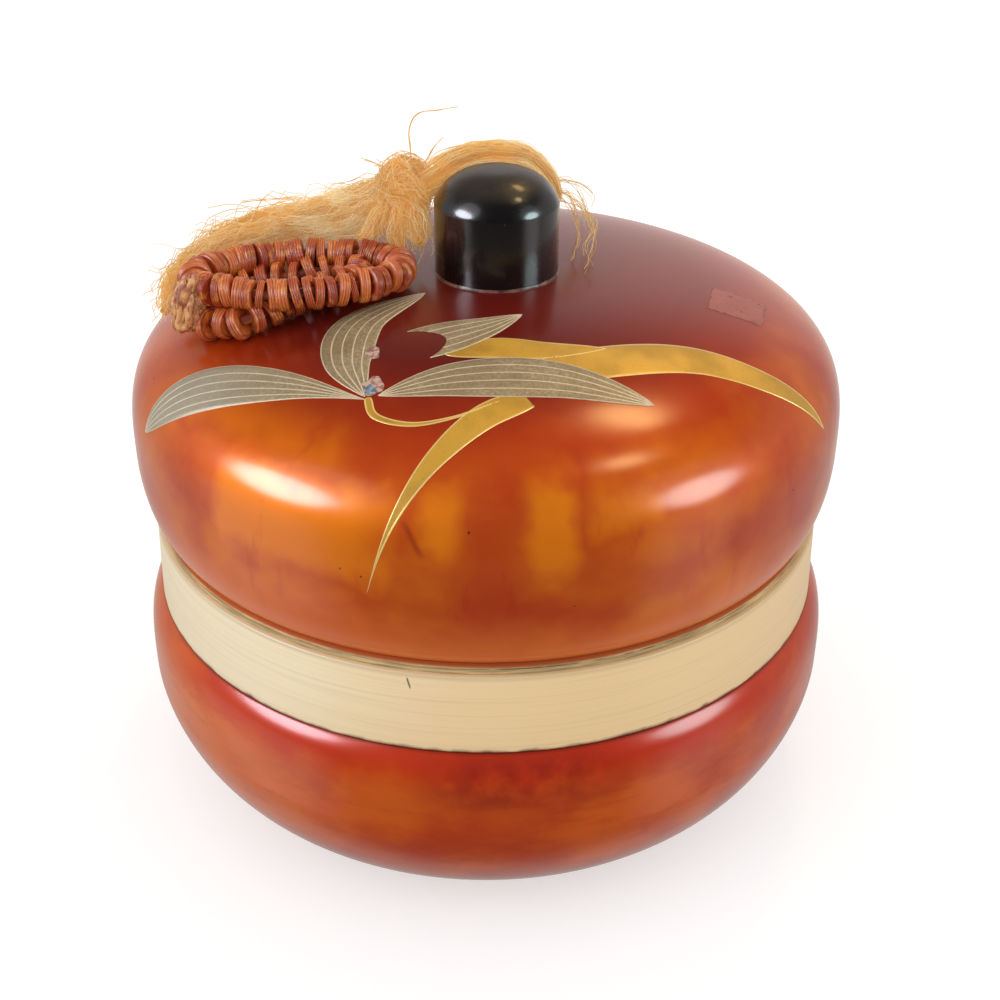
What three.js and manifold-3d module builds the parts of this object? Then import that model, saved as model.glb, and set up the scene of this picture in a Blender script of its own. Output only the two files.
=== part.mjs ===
// A turned lacquer box with a lift-off domed lid. The bowl and the lid are hollow. A cream band sits between
// them, round the bowl's collar. A black knob on the lid carries a tassel of raw fibre, and a string of thin
// discs, wound twice, lies on the lid beside it.
// Millimetres, +Z up, origin at the centre of the flat underside, front towards -Y.

import * as THREE from 'three';
import { mergeVertices } from 'three/addons/utils/BufferGeometryUtils.js';
import Module from 'manifold-3d';

const wasm = await Module();
wasm.setup();

// Driving dimensions

const wall = 4.5;
const gap = 0.3;
const turnedSides = 40;

const bowl = {
  footRadius: 40.5,
  bellyRadius: 63.3,
  bellyHeight: 23.4,
  lowerPowers: [2.25, 1.65],
  shoulder: { depth: 3.45, rise: 15 },
  seatHeight: 38.1,
  floor: 5,
};
const collar = { outerRadius: 54, innerRadius: 50.8, topHeight: 57 };
const band = { bottomRadius: 60.5, topRadius: 60, topHeight: 52.4 };
const lid = {
  rimRadius: 59.3,
  rimHeight: 1.2,
  grooveHeight: 1.5,
  undercut: { depth: 4.87, rise: 13.2 },
  bellyRadius: 62.04,
  bellyHeight: 66.8,
  topHeight: 94.3,
  domePowers: [2.34, 3.6],
  boreRadius: 54.6,
  boreDepth: 6,
  seatRadius: 12.6,
};
const knob = { centreX: 1.8, radius: 10.55, sideTop: 106.3, rounding: 1.6, roundedTurn: 50, sides: 28 };
const disc = { radius: 2.75, thickness: 1.9, pitch: 3.1, sides: 7 };
const cordRadius = 0.9;
const husk = { reach: [2.9, 2.6, 4.1], lean: 0.25, centre: [-46.8, -16.2, 94.6] };
const upperTurn = { centre: [-30.8, -10.6], halfLength: 16.9, halfWidth: 8.6, angle: 10, height: 97.5 };

// The lower turn of the string, as places on the lid seen from above
const lowerTurnPlan = [
  [-46.5, -13.5], [-44.5, -17.8], [-38.8, -20], [-32.8, -16.6], [-26.5, -13.2], [-21.5, -10.2],
  [-20.6, -6.8], [-25.5, -6.2], [-32.5, -7], [-39, -7.4], [-44.3, -9],
];

// Shapes of turned profiles, as points of radius and height

class SuperQuarter extends THREE.Curve {
  constructor(centre, reach, powers, span = [0, 1]) {
    super();
    Object.assign(this, { centre, reach, powers, span });
  }

  getPoint(t, target = new THREE.Vector2()) {
    const angle = THREE.MathUtils.lerp(...this.span, t) * Math.PI / 2;
    const across = Math.cos(angle) ** (2 / this.powers[0]);
    const along = Math.sin(angle) ** (2 / this.powers[1]);
    return target.set(this.centre[0] + this.reach[0] * across, this.centre[1] + this.reach[1] * along);
  }
}

const point = (radius, height) => new THREE.Vector2(radius, height);

function arcPoints(centre, reach, powers, span, count) {
  return new SuperQuarter(centre, reach, powers, span).getSpacedPoints(count);
}

function spanTo(height, reach) {
  return Math.asin(height / reach) / (Math.PI / 2);
}

function turned(profile, sides = turnedSides) {
  return new THREE.LatheGeometry(profile, sides).rotateX(Math.PI / 2);
}

// Height of the lid's outer surface at a radius

function lidHeight(radius) {
  const across = Math.min(radius / lid.bellyRadius, 1) ** lid.domePowers[0];
  const up = (1 - across) ** (1 / lid.domePowers[1]);
  return lid.bellyHeight + (lid.topHeight - lid.bellyHeight) * up;
}

const seatHeight = lidHeight(lid.seatRadius);

// Joins and cuts

function toSolid(geometry) {
  const bare = geometry.clone();
  bare.deleteAttribute('normal');
  bare.deleteAttribute('uv');
  const merged = mergeVertices(bare, 1e-4);
  const corners = [...merged.index.array];
  const kept = [];
  for (let i = 0; i < corners.length; i += 3) {
    const [a, b, c] = corners.slice(i, i + 3);
    if (a !== b && b !== c && c !== a) kept.push(a, b, c);
  }
  const vertProperties = new Float32Array(merged.attributes.position.array);
  return new wasm.Manifold(new wasm.Mesh({ numProp: 3, vertProperties, triVerts: new Uint32Array(kept) }));
}

function toGeometry(solid) {
  const mesh = solid.getMesh();
  const geometry = new THREE.BufferGeometry();
  geometry.setAttribute('position', new THREE.BufferAttribute(mesh.vertProperties, 3));
  geometry.setIndex(new THREE.BufferAttribute(mesh.triVerts, 1));
  geometry.computeVertexNormals();
  return geometry;
}

const joined = (solids) => solids.reduce((whole, solid) => whole.add(solid));

// A closed tube along a curve. Each section gives its place along the curve, from 0 to 1, and its radius.
// An open curve's tube ends in a point at each end.

function tube(curve, sections, sides, closed = false) {
  const positions = [];
  const index = [];
  const turn = new THREE.Quaternion();
  const across = new THREE.Vector3(0, 0, 1).cross(curve.getTangentAt(0)).normalize();
  let tangent = curve.getTangentAt(0);
  for (const { along, radius } of sections) {
    const centre = curve.getPointAt(along);
    const next = curve.getTangentAt(along);
    across.applyQuaternion(turn.setFromUnitVectors(tangent, next));
    tangent = next;
    const up = tangent.clone().cross(across);
    for (let k = 0; k < sides; k += 1) {
      const angle = (2 * Math.PI * k) / sides;
      const corner = centre.clone().addScaledVector(across, radius * Math.cos(angle));
      positions.push(...corner.addScaledVector(up, radius * Math.sin(angle)).toArray());
    }
  }
  const rings = sections.length;
  const corner = (ring, k) => (ring % rings) * sides + (k % sides);
  for (let ring = 0; ring < (closed ? rings : rings - 1); ring += 1) {
    for (let k = 0; k < sides; k += 1) {
      index.push(corner(ring, k), corner(ring, k + 1), corner(ring + 1, k + 1));
      index.push(corner(ring, k), corner(ring + 1, k + 1), corner(ring + 1, k));
    }
  }
  if (!closed) {
    const tip = positions.length / 3;
    positions.push(...curve.getPointAt(0).toArray(), ...curve.getPointAt(1).toArray());
    for (let k = 0; k < sides; k += 1) {
      index.push(tip, corner(0, k + 1), corner(0, k));
      index.push(tip + 1, corner(rings - 1, k), corner(rings - 1, k + 1));
    }
  }
  const geometry = new THREE.BufferGeometry();
  geometry.setAttribute('position', new THREE.Float32BufferAttribute(positions, 3));
  geometry.setIndex(index);
  return geometry;
}

function evenSections(count, radiusAt) {
  const places = Array.from({ length: count }, (_, i) => (i + 1) / (count + 1));
  return places.map((along) => ({ along, radius: radiusAt(along) }));
}

const pathThrough = (places, closed = false) =>
  new THREE.CatmullRomCurve3(places.map((place) => new THREE.Vector3(...place)), closed, 'centripetal');

// The bowl: a flat foot, a full belly, a seat for the band and a collar that the lid fits over

function bowlGeometry() {
  const { footRadius, bellyRadius, bellyHeight, lowerPowers, shoulder, seatHeight: seat, floor } = bowl;
  const belly = [footRadius, bellyHeight];
  const shoulderCentre = [bellyRadius - shoulder.depth, bellyHeight];
  const shoulderReach = [shoulder.depth, shoulder.rise];
  const shoulderSpan = [0, spanTo(seat - bellyHeight, shoulder.rise)];
  const innerReach = bellyRadius - wall - footRadius;
  const throatHeight = seat - wall;
  const throatSpan = [0.55, 0];
  const hollowPowers = [2.2, 1.8];
  const profile = [
    point(0, 0),
    ...arcPoints(belly, [bellyRadius - footRadius, -bellyHeight], lowerPowers, [1, 0], 7),
    ...arcPoints(shoulderCentre, shoulderReach, [2, 2], shoulderSpan, 4).slice(1),
    point(collar.outerRadius, seat),
    point(collar.outerRadius, collar.topHeight),
    point(collar.innerRadius, collar.topHeight),
    point(collar.innerRadius, throatHeight),
    ...arcPoints(belly, [innerReach, throatHeight - bellyHeight], [2, 2], throatSpan, 2),
    ...arcPoints(belly, [innerReach, floor - bellyHeight], hollowPowers, [0, 1], 6).slice(1),
    point(0, floor),
  ];
  return turned(profile);
}

// The band: a plain ring round the collar, a little narrower at its top

function bandGeometry() {
  const inner = collar.outerRadius + gap;
  const profile = [
    point(inner, bowl.seatHeight),
    point(band.bottomRadius, bowl.seatHeight),
    point(band.topRadius, band.topHeight),
    point(inner, band.topHeight),
    point(inner, bowl.seatHeight),
  ];
  return turned(profile);
}

// The lid: a bare rim, a groove, a rounded undercut and a high dome, hollow with the same wall all over

function lidGeometry() {
  const { bellyRadius, bellyHeight, topHeight, undercut, domePowers, seatRadius } = lid;
  const rimBottom = band.topHeight;
  const grooveTop = rimBottom + lid.grooveHeight;
  const undercutCentre = [bellyRadius - undercut.depth, bellyHeight];
  const undercutReach = [undercut.depth, -undercut.rise];
  const undercutSpan = [spanTo(bellyHeight - grooveTop, undercut.rise), 0];
  const dome = arcPoints([0, bellyHeight], [bellyRadius, topHeight - bellyHeight], domePowers, [0, 1], 14);
  const innerTop = topHeight - wall;
  const innerReach = [bellyRadius - wall, innerTop - bellyHeight];
  const profile = [
    point(lid.boreRadius, rimBottom),
    point(lid.rimRadius, rimBottom),
    point(lid.rimRadius, rimBottom + lid.rimHeight),
    ...arcPoints(undercutCentre, undercutReach, [2, 2], undercutSpan, 4),
    ...dome.slice(1).filter((place) => place.x > seatRadius),
    point(seatRadius, seatHeight),
    point(0, seatHeight),
    point(0, innerTop),
    ...arcPoints([0, bellyHeight], innerReach, domePowers, [1, 0], 7).slice(1),
    point(lid.boreRadius, rimBottom + lid.boreDepth),
    point(lid.boreRadius, rimBottom),
  ];
  return turned(profile);
}

// The knob: an upright cylinder glued on the lid's flat seat. Its edge is rounded over through a turn in
// degrees, and a bowed crown goes on from there at the same slope. A margin grows it all round.

function knobShape(margin = 0) {
  const rounding = knob.rounding + margin;
  const edgeCentre = [knob.radius - knob.rounding, knob.sideTop];
  const edge = arcPoints(edgeCentre, [rounding, rounding], [2, 2], [0, knob.roundedTurn / 90], 3);
  const { x: crownRadius, y: crownFoot } = edge.at(-1);
  const crownHeight = crownRadius / 2 / Math.tan(THREE.MathUtils.degToRad(knob.roundedTurn));
  const crown = arcPoints([0, crownFoot], [crownRadius, crownHeight], [2, 1], [0, 1], 4).slice(1, -1);
  const profile = [
    point(0, seatHeight - margin),
    point(knob.radius + margin, seatHeight - margin),
    ...edge,
    ...crown,
    point(0, crownFoot + crownHeight),
  ];
  return turned(profile, knob.sides).translate(knob.centreX, 0, 0);
}

// Room that the soft trim leaves free over the lid, grown by a margin

function lidRoom(margin) {
  const reach = [lid.bellyRadius + margin, lid.topHeight + margin - lid.bellyHeight];
  const dome = arcPoints([0, lid.bellyHeight], reach, lid.domePowers, [0, 1], 14);
  return toSolid(turned([point(0, lid.bellyHeight), ...dome]));
}

// The string: discs threaded close together on a cord, in two turns, with a husk of dry fibre at the knot

function upperTurnPath() {
  const places = [];
  const { centre, halfLength, halfWidth, angle, height } = upperTurn;
  const tilt = THREE.MathUtils.degToRad(angle);
  const steps = 16;
  for (let i = 0; i < steps; i += 1) {
    const round = (2 * Math.PI * i) / steps;
    const along = halfLength * Math.cos(round);
    const across = halfWidth * Math.sin(round);
    const x = centre[0] + along * Math.cos(tilt) - across * Math.sin(tilt);
    const y = centre[1] + along * Math.sin(tilt) + across * Math.cos(tilt);
    places.push([x, y, height]);
  }
  return pathThrough(places, true);
}

function lowerTurnPath() {
  const rise = disc.radius + gap;
  return pathThrough(lowerTurnPlan.map(([x, y]) => [x, y, lidHeight(Math.hypot(x, y)) + rise]), true);
}

// Hand-made differences between discs, as shares of their size, and a repeatable value from -1 to 1 for each
const thicknessVariation = 0.15;
const discVariation = 0.06;
const uneven = (n) => 2 * ((Math.abs(Math.sin(n * 12.9898 + 4.1) * 43758.5453)) % 1) - 1;

function stringOfDiscs(path, seed) {
  const length = path.getLength();
  const count = Math.round(length / disc.pitch);
  const sections = [];
  for (let i = 0; i < count; i += 1) {
    const half = (disc.thickness / 2) * (1 + thicknessVariation * uneven(seed + i)) / length;
    const radius = disc.radius * (1 + discVariation * uneven(seed + i + 0.5));
    const middle = (i + 0.5) / count;
    sections.push({ along: middle - half, radius: cordRadius }, { along: middle - half, radius });
    sections.push({ along: middle + half, radius }, { along: middle + half, radius: cordRadius });
  }
  return toSolid(tube(path, sections, disc.sides, true));
}

function beadLoopGeometry() {
  const pod = new THREE.IcosahedronGeometry(1, 1).scale(...husk.reach);
  pod.rotateY(husk.lean).translate(...husk.centre);
  const strings = [stringOfDiscs(upperTurnPath(), 1), stringOfDiscs(lowerTurnPath(), 71), toSolid(pod)];
  return toGeometry(joined(strings).subtract(lidRoom(gap)));
}

// The tassel: a hank of raw fibre over the knob's rear edge, a knot beside it, a short tuft and a long brush

const hank = {
  route: [
    [6, 15.6, 94.9], [8.6, 14, 97.6], [10.6, 12, 101], [11.6, 10.2, 104.4], [9.9, 10.2, 107.4],
    [7, 10.9, 109.7], [3, 11.3, 110.9], [-1.8, 11, 111], [-6, 9.2, 110], [-9.4, 6.6, 108.4], [-12, 4.6, 107],
  ],
  thickness: [1.5, 1.7, 1.5, 1.3, 1.7, 2, 2.2, 2.3, 2.2, 2.1, 2],
};
const knot = { centre: [-13.8, 4, 107], reach: [4.8, 4.2, 5.4] };
const brush = [
  {
    places: [[-15, 4, 107.5], [-23, 8, 103.8], [-31, 9.2, 100.8], [-40, 8, 99.4], [-48.5, 3.5, 97.2]],
    radius: 2.6,
  },
  {
    places: [[-15, 4, 105.5], [-23, 8.5, 100.5], [-32, 11, 97.6], [-42, 10, 95.3], [-50.5, 5.5, 92]],
    radius: 3,
  },
  {
    places: [[-14, 5, 104], [-22, 11.5, 98.5], [-31, 15, 95.9], [-40, 15.5, 93.4], [-47, 14, 90.8]],
    radius: 2.8,
  },
  {
    places: [[-36, 7, 99.6], [-45.5, 3.5, 97.6], [-50.8, -1.5, 95], [-53, -6, 92.6], [-53.6, -10, 90.4]],
    radius: 2.4,
  },
];
const tuft = [
  { places: [[-12.8, 3, 106], [-12.2, 0.8, 103], [-11.8, -0.6, 100.2], [-11.6, -1, 98.2]], radius: 2.2 },
  { places: [[-14.8, 3.5, 106], [-15.8, 1.2, 102.6], [-15.9, 0.2, 99.8], [-15.5, -0.2, 98.6]], radius: 2.2 },
];
const lockTaper = { start: 0.28, power: 0.7, tip: 0.05 };
const lockSides = 7;
const hankSides = 8;

function lock({ places, radius }) {
  const { start, power, tip } = lockTaper;
  const swell = (along) => radius * Math.sin(Math.PI * THREE.MathUtils.lerp(start, 1, along)) ** power + tip;
  return toSolid(tube(pathThrough(places), evenSections(7, swell), lockSides));
}

function hankSolid() {
  const last = hank.thickness.length - 1;
  const thickness = (along) => {
    const before = Math.floor(along * last);
    return THREE.MathUtils.lerp(hank.thickness[before], hank.thickness[before + 1], along * last - before);
  };
  return toSolid(tube(pathThrough(hank.route), evenSections(16, thickness), hankSides));
}

function tasselGeometry() {
  const bundle = new THREE.IcosahedronGeometry(1, 1).scale(...knot.reach).translate(...knot.centre);
  const fibre = joined([hankSolid(), toSolid(bundle), ...brush.map(lock), ...tuft.map(lock)]);
  const discReach = disc.radius * (1 + discVariation) + gap;
  const discRoom = toSolid(tube(upperTurnPath(), evenSections(32, () => discReach), 8, true));
  return toGeometry(fibre.subtract(lidRoom(gap)).subtract(toSolid(knobShape(gap))).subtract(discRoom));
}

// Materials and assembly

const finish = (color, roughness) => new THREE.MeshStandardMaterial({ color, roughness, metalness: 0 });
const box = new THREE.Group();

function addPiece(name, geometry, material) {
  const mesh = new THREE.Mesh(geometry, material);
  mesh.name = name;
  box.add(mesh);
}

addPiece('bowl', bowlGeometry(), finish(0xb23c18, 0.25));
addPiece('band', bandGeometry(), finish(0xe2cfa0, 0.5));
addPiece('lid', lidGeometry(), finish(0xb8480f, 0.2));
addPiece('knob', knobShape(), finish(0x141112, 0.25));
addPiece('bead_loop', beadLoopGeometry(), finish(0xa8481f, 0.55));
addPiece('tassel', tasselGeometry(), finish(0xd9ab63, 0.85));

export default box;
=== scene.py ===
import math
import random

import bmesh
import bpy
import numpy as np
from mathutils import Matrix, Vector, noise


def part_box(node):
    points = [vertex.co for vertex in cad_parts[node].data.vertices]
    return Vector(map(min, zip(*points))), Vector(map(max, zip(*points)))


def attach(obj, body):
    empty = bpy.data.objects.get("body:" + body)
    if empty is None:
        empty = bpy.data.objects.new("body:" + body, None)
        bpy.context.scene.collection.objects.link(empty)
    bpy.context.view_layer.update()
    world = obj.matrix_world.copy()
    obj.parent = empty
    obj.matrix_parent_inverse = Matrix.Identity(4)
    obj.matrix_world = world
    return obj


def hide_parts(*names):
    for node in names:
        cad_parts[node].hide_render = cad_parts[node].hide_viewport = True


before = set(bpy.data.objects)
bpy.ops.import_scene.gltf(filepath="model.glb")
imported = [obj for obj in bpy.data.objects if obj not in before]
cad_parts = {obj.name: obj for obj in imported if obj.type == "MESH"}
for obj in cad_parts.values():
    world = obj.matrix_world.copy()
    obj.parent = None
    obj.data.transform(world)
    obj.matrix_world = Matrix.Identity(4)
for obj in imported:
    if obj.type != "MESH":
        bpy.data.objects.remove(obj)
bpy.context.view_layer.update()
mm = 0.001
scene = bpy.context.scene


# Camera
# It looks down on the box from the front, from a little over two widths away.

camera_data = bpy.data.cameras.new("camera")
camera_data.sensor_width = 36
camera_data.lens = 52.72
camera_data.shift_x = 0.014
camera_data.clip_start = 0.01
camera = bpy.data.objects.new("camera", camera_data)
camera.location = (0, -236.2 * mm, 187.9 * mm)
camera.rotation_euler = (math.radians(90 - 30.63), 0, 0)
scene.collection.objects.link(camera)
scene.camera = camera


# Studio
# A pale floor and a bright, even room, with a soft window on each side of the camera and a small warm lamp
# high behind the box. Polished surfaces mirror a dimmer room than the one that lights them: a dark ceiling,
# a grey wall behind the box and a floor that is lightest under the windows.

class Wire:
    """One socket of a node tree. A sum written on it adds the nodes that work it out."""

    def __init__(self, tree, socket=None):
        self.tree = tree
        self.socket = socket

    def node(self, kind, settings=None, inputs=None, output=0):
        made = self.tree.nodes.new(kind)
        for name, value in (settings or {}).items():
            setattr(made, name, value)
        for name, value in (inputs or {}).items():
            if isinstance(value, Wire):
                self.tree.links.new(value.socket, made.inputs[name])
            else:
                made.inputs[name].default_value = value
        return Wire(self.tree, made.outputs[output]) if made.outputs else None

    def other(self, output):
        return Wire(self.tree, self.socket.node.outputs[output])

    def maths(self, operation, *others):
        return self.node("ShaderNodeMath", {"operation": operation}, dict(enumerate([self, *others])))

    def __add__(self, other):
        return self.maths("ADD", other)

    def __radd__(self, other):
        return self.maths("ADD", other)

    def __sub__(self, other):
        return self.maths("SUBTRACT", other)

    def __rsub__(self, other):
        return (self * -1).maths("ADD", other)

    def __mul__(self, other):
        return self.maths("MULTIPLY", other)

    def __rmul__(self, other):
        return self.maths("MULTIPLY", other)

    def __truediv__(self, other):
        return self.maths("DIVIDE", other)

    def __rtruediv__(self, other):
        return self ** -1 * other

    def __pow__(self, other):
        return self.maths("POWER", other)


def ease(value, low, high):
    """0 below low and 1 above high, with a soft step between. Turned round if low is above high."""
    return value.node("ShaderNodeMapRange", {"interpolation_type": "SMOOTHSTEP"},
                      {"Value": value, "From Min": low, "From Max": high})


def between(value, low, high, soft):
    return ease(value, low - soft, low + soft) * ease(value, high + soft, high - soft)


def blend(factor, first, second):
    return factor.node("ShaderNodeMix", {"data_type": "RGBA"}, {0: factor, 6: first, 7: second}, 2)


def paint(red, green, blue):
    """A colour as it looks on a screen, from 0 to 255, as the light that a shader works with."""
    channels = [value / 255 for value in (red, green, blue)]
    return (*[((v + 0.055) / 1.055) ** 2.4 if v > 0.04 else v / 12.92 for v in channels], 1)


def add_object(name, data):
    made = bpy.data.objects.new(name, data)
    scene.collection.objects.link(made)
    return made


world = bpy.data.worlds.new("room")
world.use_nodes = True
world.node_tree.nodes.clear()
scene.world = world
room = Wire(world.node_tree)
sight = room.node("ShaderNodeSeparateXYZ", {}, {0: room.node("ShaderNodeTexCoord")})
upward = sight.other("Z")
backward = sight.other("Y")
azimuth = sight.maths("ARCTAN2", backward * -1) * 180 / math.pi
rear_wall = ease(backward, -0.3, 0.1) * ease(upward, 0.7, 0.38) * (0.42 + ease(backward, 0.7, 0.9) * 0.35)
floor_light = ease(upward, 0.0, -0.5)
sills = between(azimuth, -96, -52, 14) + between(azimuth, 52, 84, 12) * 0.8
brightness = 0.035 + rear_wall + floor_light * 0.11
brightness = brightness.maths("MAXIMUM", sills * ease(upward, 0.1, -0.15) * ease(upward, -0.95, -0.5) * 1.3)
mirrored = blend(brightness, (0, 0, 0, 1), (1, 0.95, 0.92, 1))
rays = room.node("ShaderNodeLightPath", {}, {}, "Is Glossy Ray")
lighting = blend(ease(upward, -0.3, 0.25), (0.58, 0.56, 0.54, 1), (0.92, 0.915, 0.91, 1))
seen = blend(rays, lighting, mirrored)
seen = blend(rays.other("Is Camera Ray"), seen, (1, 1, 1, 1))
background = room.node("ShaderNodeBackground", {}, {"Color": seen})
room.node("ShaderNodeOutputWorld", {}, {"Surface": background})


def area_light(name, azimuth, elevation, distance, width, height, radiance, colour=(1, 1, 1),
               mirrored_only=False, matt_only=False):
    """A soft light that faces the box. Azimuth 0 is the front and 90 is the box's right-hand side. A light
    that is mirrored only shows in polished surfaces alone, and a matt one doesn't show in them."""
    light = bpy.data.lights.new(name, "AREA")
    light.shape = "ELLIPSE"
    light.size = width
    light.size_y = height
    light.energy = radiance * math.pi ** 2 / 4 * width * height
    light.color = colour
    turn = math.radians(azimuth)
    lift = math.radians(elevation)
    away = Vector((math.sin(turn) * math.cos(lift), -math.cos(turn) * math.cos(lift), math.sin(lift)))
    lamp = add_object(name, light)
    lamp.location = away * distance + Vector((0, 0, 0.06))
    lamp.rotation_euler = away.to_track_quat("Z", "Y").to_euler()
    lamp.visible_diffuse = not mirrored_only
    lamp.visible_glossy = not matt_only


area_light("left window glow", -65, 23, 0.9, 0.54, 0.38, 15, (0.94, 0.96, 1.08), mirrored_only=True)
area_light("right window glow", 66, 17, 0.9, 0.42, 0.38, 10, (0.78, 0.98, 1), mirrored_only=True)
area_light("left window", -60, 36, 1.0, 0.7, 0.7, 1.2)
area_light("right window", 66, 30, 1.0, 0.6, 0.6, 0.5)
area_light("warm lamp glow", 137, 60, 0.9, 0.24, 0.13, 18, (1, 0.66, 0.26), mirrored_only=True)
area_light("second lamp glow", 77, 62, 0.9, 0.15, 0.13, 15, (1, 0.78, 0.38), mirrored_only=True)
area_light("warm lamp", 160, 54, 0.9, 0.16, 0.16, 12, (1, 0.78, 0.5), matt_only=True)

floor_radius = 3.0
floor_mesh = bpy.data.meshes.new("floor")
rim = [(floor_radius * math.cos(math.tau * i / 48), floor_radius * math.sin(math.tau * i / 48), -0.05 * mm)
       for i in range(48)]
floor_mesh.from_pydata(rim, [], [list(range(48))])
floor = add_object("floor", floor_mesh)
floor_finish = bpy.data.materials.new("pale floor")
floor_finish.use_nodes = True
floor_shader = floor_finish.node_tree.nodes["Principled BSDF"]
floor_shader.inputs["Base Color"].default_value = (0.55, 0.56, 0.56, 1)
floor_shader.inputs["Roughness"].default_value = 0.9
floor_shader.inputs["Specular IOR Level"].default_value = 0.1
floor_shader.inputs["Emission Color"].default_value = (1, 1, 1, 1)
floor_shader.inputs["Emission Strength"].default_value = 0.55
floor.visible_glossy = False
floor.visible_diffuse = False
floor_mesh.materials.append(floor_finish)
scene.view_settings.view_transform = "Standard"


# Bowl
# The lower half, turned from wood with a flat foot, a full belly and a collar that goes up inside the lid.
# It is coated in red lacquer over foil, which glows orange where the lacquer is thin. Its left side is
# painted a lighter orange as painted light from the left window, and its underside a dull brown as painted
# shade and a painted reflection of the floor.

bowl_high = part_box("bowl")[1]
band_low, band_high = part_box("band")
wall = 4.5 * mm
foot_radius = 40.5 * mm
bowl_radius = bowl_high.x
bowl_belly_height = 23.4 * mm
bowl_floor = 5 * mm
collar_inner = 50.8 * mm
collar_outer = 54 * mm
seat_height = band_low.z


def quarter(centre, reach, powers, start, end, count):
    """Part of a rounded corner between upright and level, as radius and height. 0 is its widest place."""
    places = []
    for i in range(count + 1):
        angle = (start + (end - start) * i / count) * math.pi / 2
        across = max(math.cos(angle), 0) ** (2 / powers[0])
        along = max(math.sin(angle), 0) ** (2 / powers[1])
        places.append((centre[0] + reach[0] * across, centre[1] + reach[1] * along))
    return places


def eased_corner(before, corner, after, size, count=4):
    """A small rounding in place of a turned corner."""
    corner = Vector(corner)
    start = corner + (Vector(before) - corner).normalized() * size
    end = corner + (Vector(after) - corner).normalized() * size
    steps = [i / count for i in range(count + 1)]
    return [tuple(start * (1 - t) ** 2 + corner * 2 * t * (1 - t) + end * t ** 2) for t in steps]


def part_of_turn(height, reach):
    return math.asin(height / reach) / (math.pi / 2)


def new_tree(name, sockets):
    """A geometry node tree with named inputs, which starts from those inputs and gives back one mesh."""
    tree = bpy.data.node_groups.new(name, "GeometryNodeTree")
    for label, kind in sockets.items():
        tree.interface.new_socket(label, in_out="INPUT", socket_type=kind)
    tree.interface.new_socket("Mesh", in_out="OUTPUT", socket_type="NodeSocketGeometry")
    return Wire(tree).node("NodeGroupInput")


def end_tree(made, finish):
    """The last nodes of a tree: real meshes in place of copies, and the piece's finish."""
    real = made.node("GeometryNodeRealizeInstances", {}, {0: made})
    dressed = made.node("GeometryNodeSetMaterial", {}, {"Geometry": real, "Material": finish})
    made.node("NodeGroupOutput", {}, {"Mesh": dressed})


def grown(name, source, tree, values):
    """The plain mesh that a tree makes from an object, which is then removed."""
    modifier = source.modifiers.new("grow", "NODES")
    modifier.node_group = tree
    for item in tree.interface.items_tree:
        if item.in_out == "INPUT" and item.name in values:
            modifier[item.identifier] = values[item.name]
    bpy.context.view_layer.update()
    shown = source.evaluated_get(bpy.context.evaluated_depsgraph_get())
    mesh = bpy.data.meshes.new_from_object(shown)
    mesh.name = name
    source.modifiers.remove(modifier)
    bpy.data.objects.remove(source)
    return add_object(name, mesh)


def lathe_tree():
    """Turns a profile, whose points hold radius and height, round the upright axis."""
    start = new_tree("turn on a lathe", {"Profile": "NodeSocketGeometry", "Sides": "NodeSocketInt",
                                         "Finish": "NodeSocketMaterial"})
    profile = start.other("Profile")
    columns = start.other("Sides") + 1
    rings = start.node("GeometryNodeAttributeDomainSize", {"component": "MESH"}, {"Geometry": profile})
    grid = start.node("GeometryNodeMeshGrid", {}, {"Vertices X": rings, "Vertices Y": columns})
    index = start.node("GeometryNodeInputIndex")
    ring = ((index + 0.5) / columns).maths("FLOOR")
    angle = (index - ring * columns) * math.tau / start.other("Sides")
    position = start.node("GeometryNodeInputPosition")
    place = start.node("GeometryNodeSampleIndex", {"data_type": "FLOAT_VECTOR"},
                       {"Geometry": profile, "Value": position, "Index": ring})
    radius = start.node("ShaderNodeSeparateXYZ", {}, {0: place}, "X")
    turned_place = start.node("ShaderNodeCombineXYZ", {}, {
        "X": radius * angle.maths("COSINE"), "Y": radius * angle.maths("SINE"), "Z": radius.other("Z")})
    shaped = start.node("GeometryNodeSetPosition", {}, {"Geometry": grid, "Position": turned_place})
    closed = start.node("GeometryNodeMergeByDistance", {}, {"Geometry": shaped, "Distance": 0.001 * mm})
    smooth = start.node("GeometryNodeSetShadeSmooth", {}, {"Geometry": closed})
    end_tree(smooth, start.other("Finish"))
    return start.tree


lathe = lathe_tree()


def turned(name, profile, finish, sides=256, centre_x=0.0):
    """A closed turned piece. Its profile is a list of radius and height, all the way round its wall."""
    mesh = bpy.data.meshes.new("profile")
    mesh.from_pydata([(radius, 0, height) for radius, height in profile], [], [])
    piece = grown(name, add_object("profile", mesh), lathe, {"Sides": sides, "Finish": finish})
    mesh = piece.data
    mesh.transform(Matrix.Translation((centre_x, 0, 0)))
    corners = [Vector(mesh.vertices[i].co) for polygon in mesh.polygons for i in polygon.vertices[:3]]
    volume = sum(a.dot(b.cross(c)) for a, b, c in zip(corners[::3], corners[1::3], corners[2::3]))
    if volume < 0:
        mesh.flip_normals()
    mesh.set_sharp_from_angle(angle=math.radians(40))
    return piece


def new_finish(name):
    """A new material, and the places on its piece in millimetres."""
    material = bpy.data.materials.new(name)
    material.use_nodes = True
    material.node_tree.nodes.clear()
    start = Wire(material.node_tree)
    metres = start.node("ShaderNodeTexCoord", {}, {}, "Object")
    place = start.node("ShaderNodeVectorMath", {"operation": "SCALE"}, {0: metres, "Scale": 1 / mm})
    return material, place


def stretched(place, along_x, along_y, along_z):
    factors = (along_x, along_y, along_z)
    return place.node("ShaderNodeVectorMath", {"operation": "MULTIPLY"}, {0: place, 1: factors})


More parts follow.
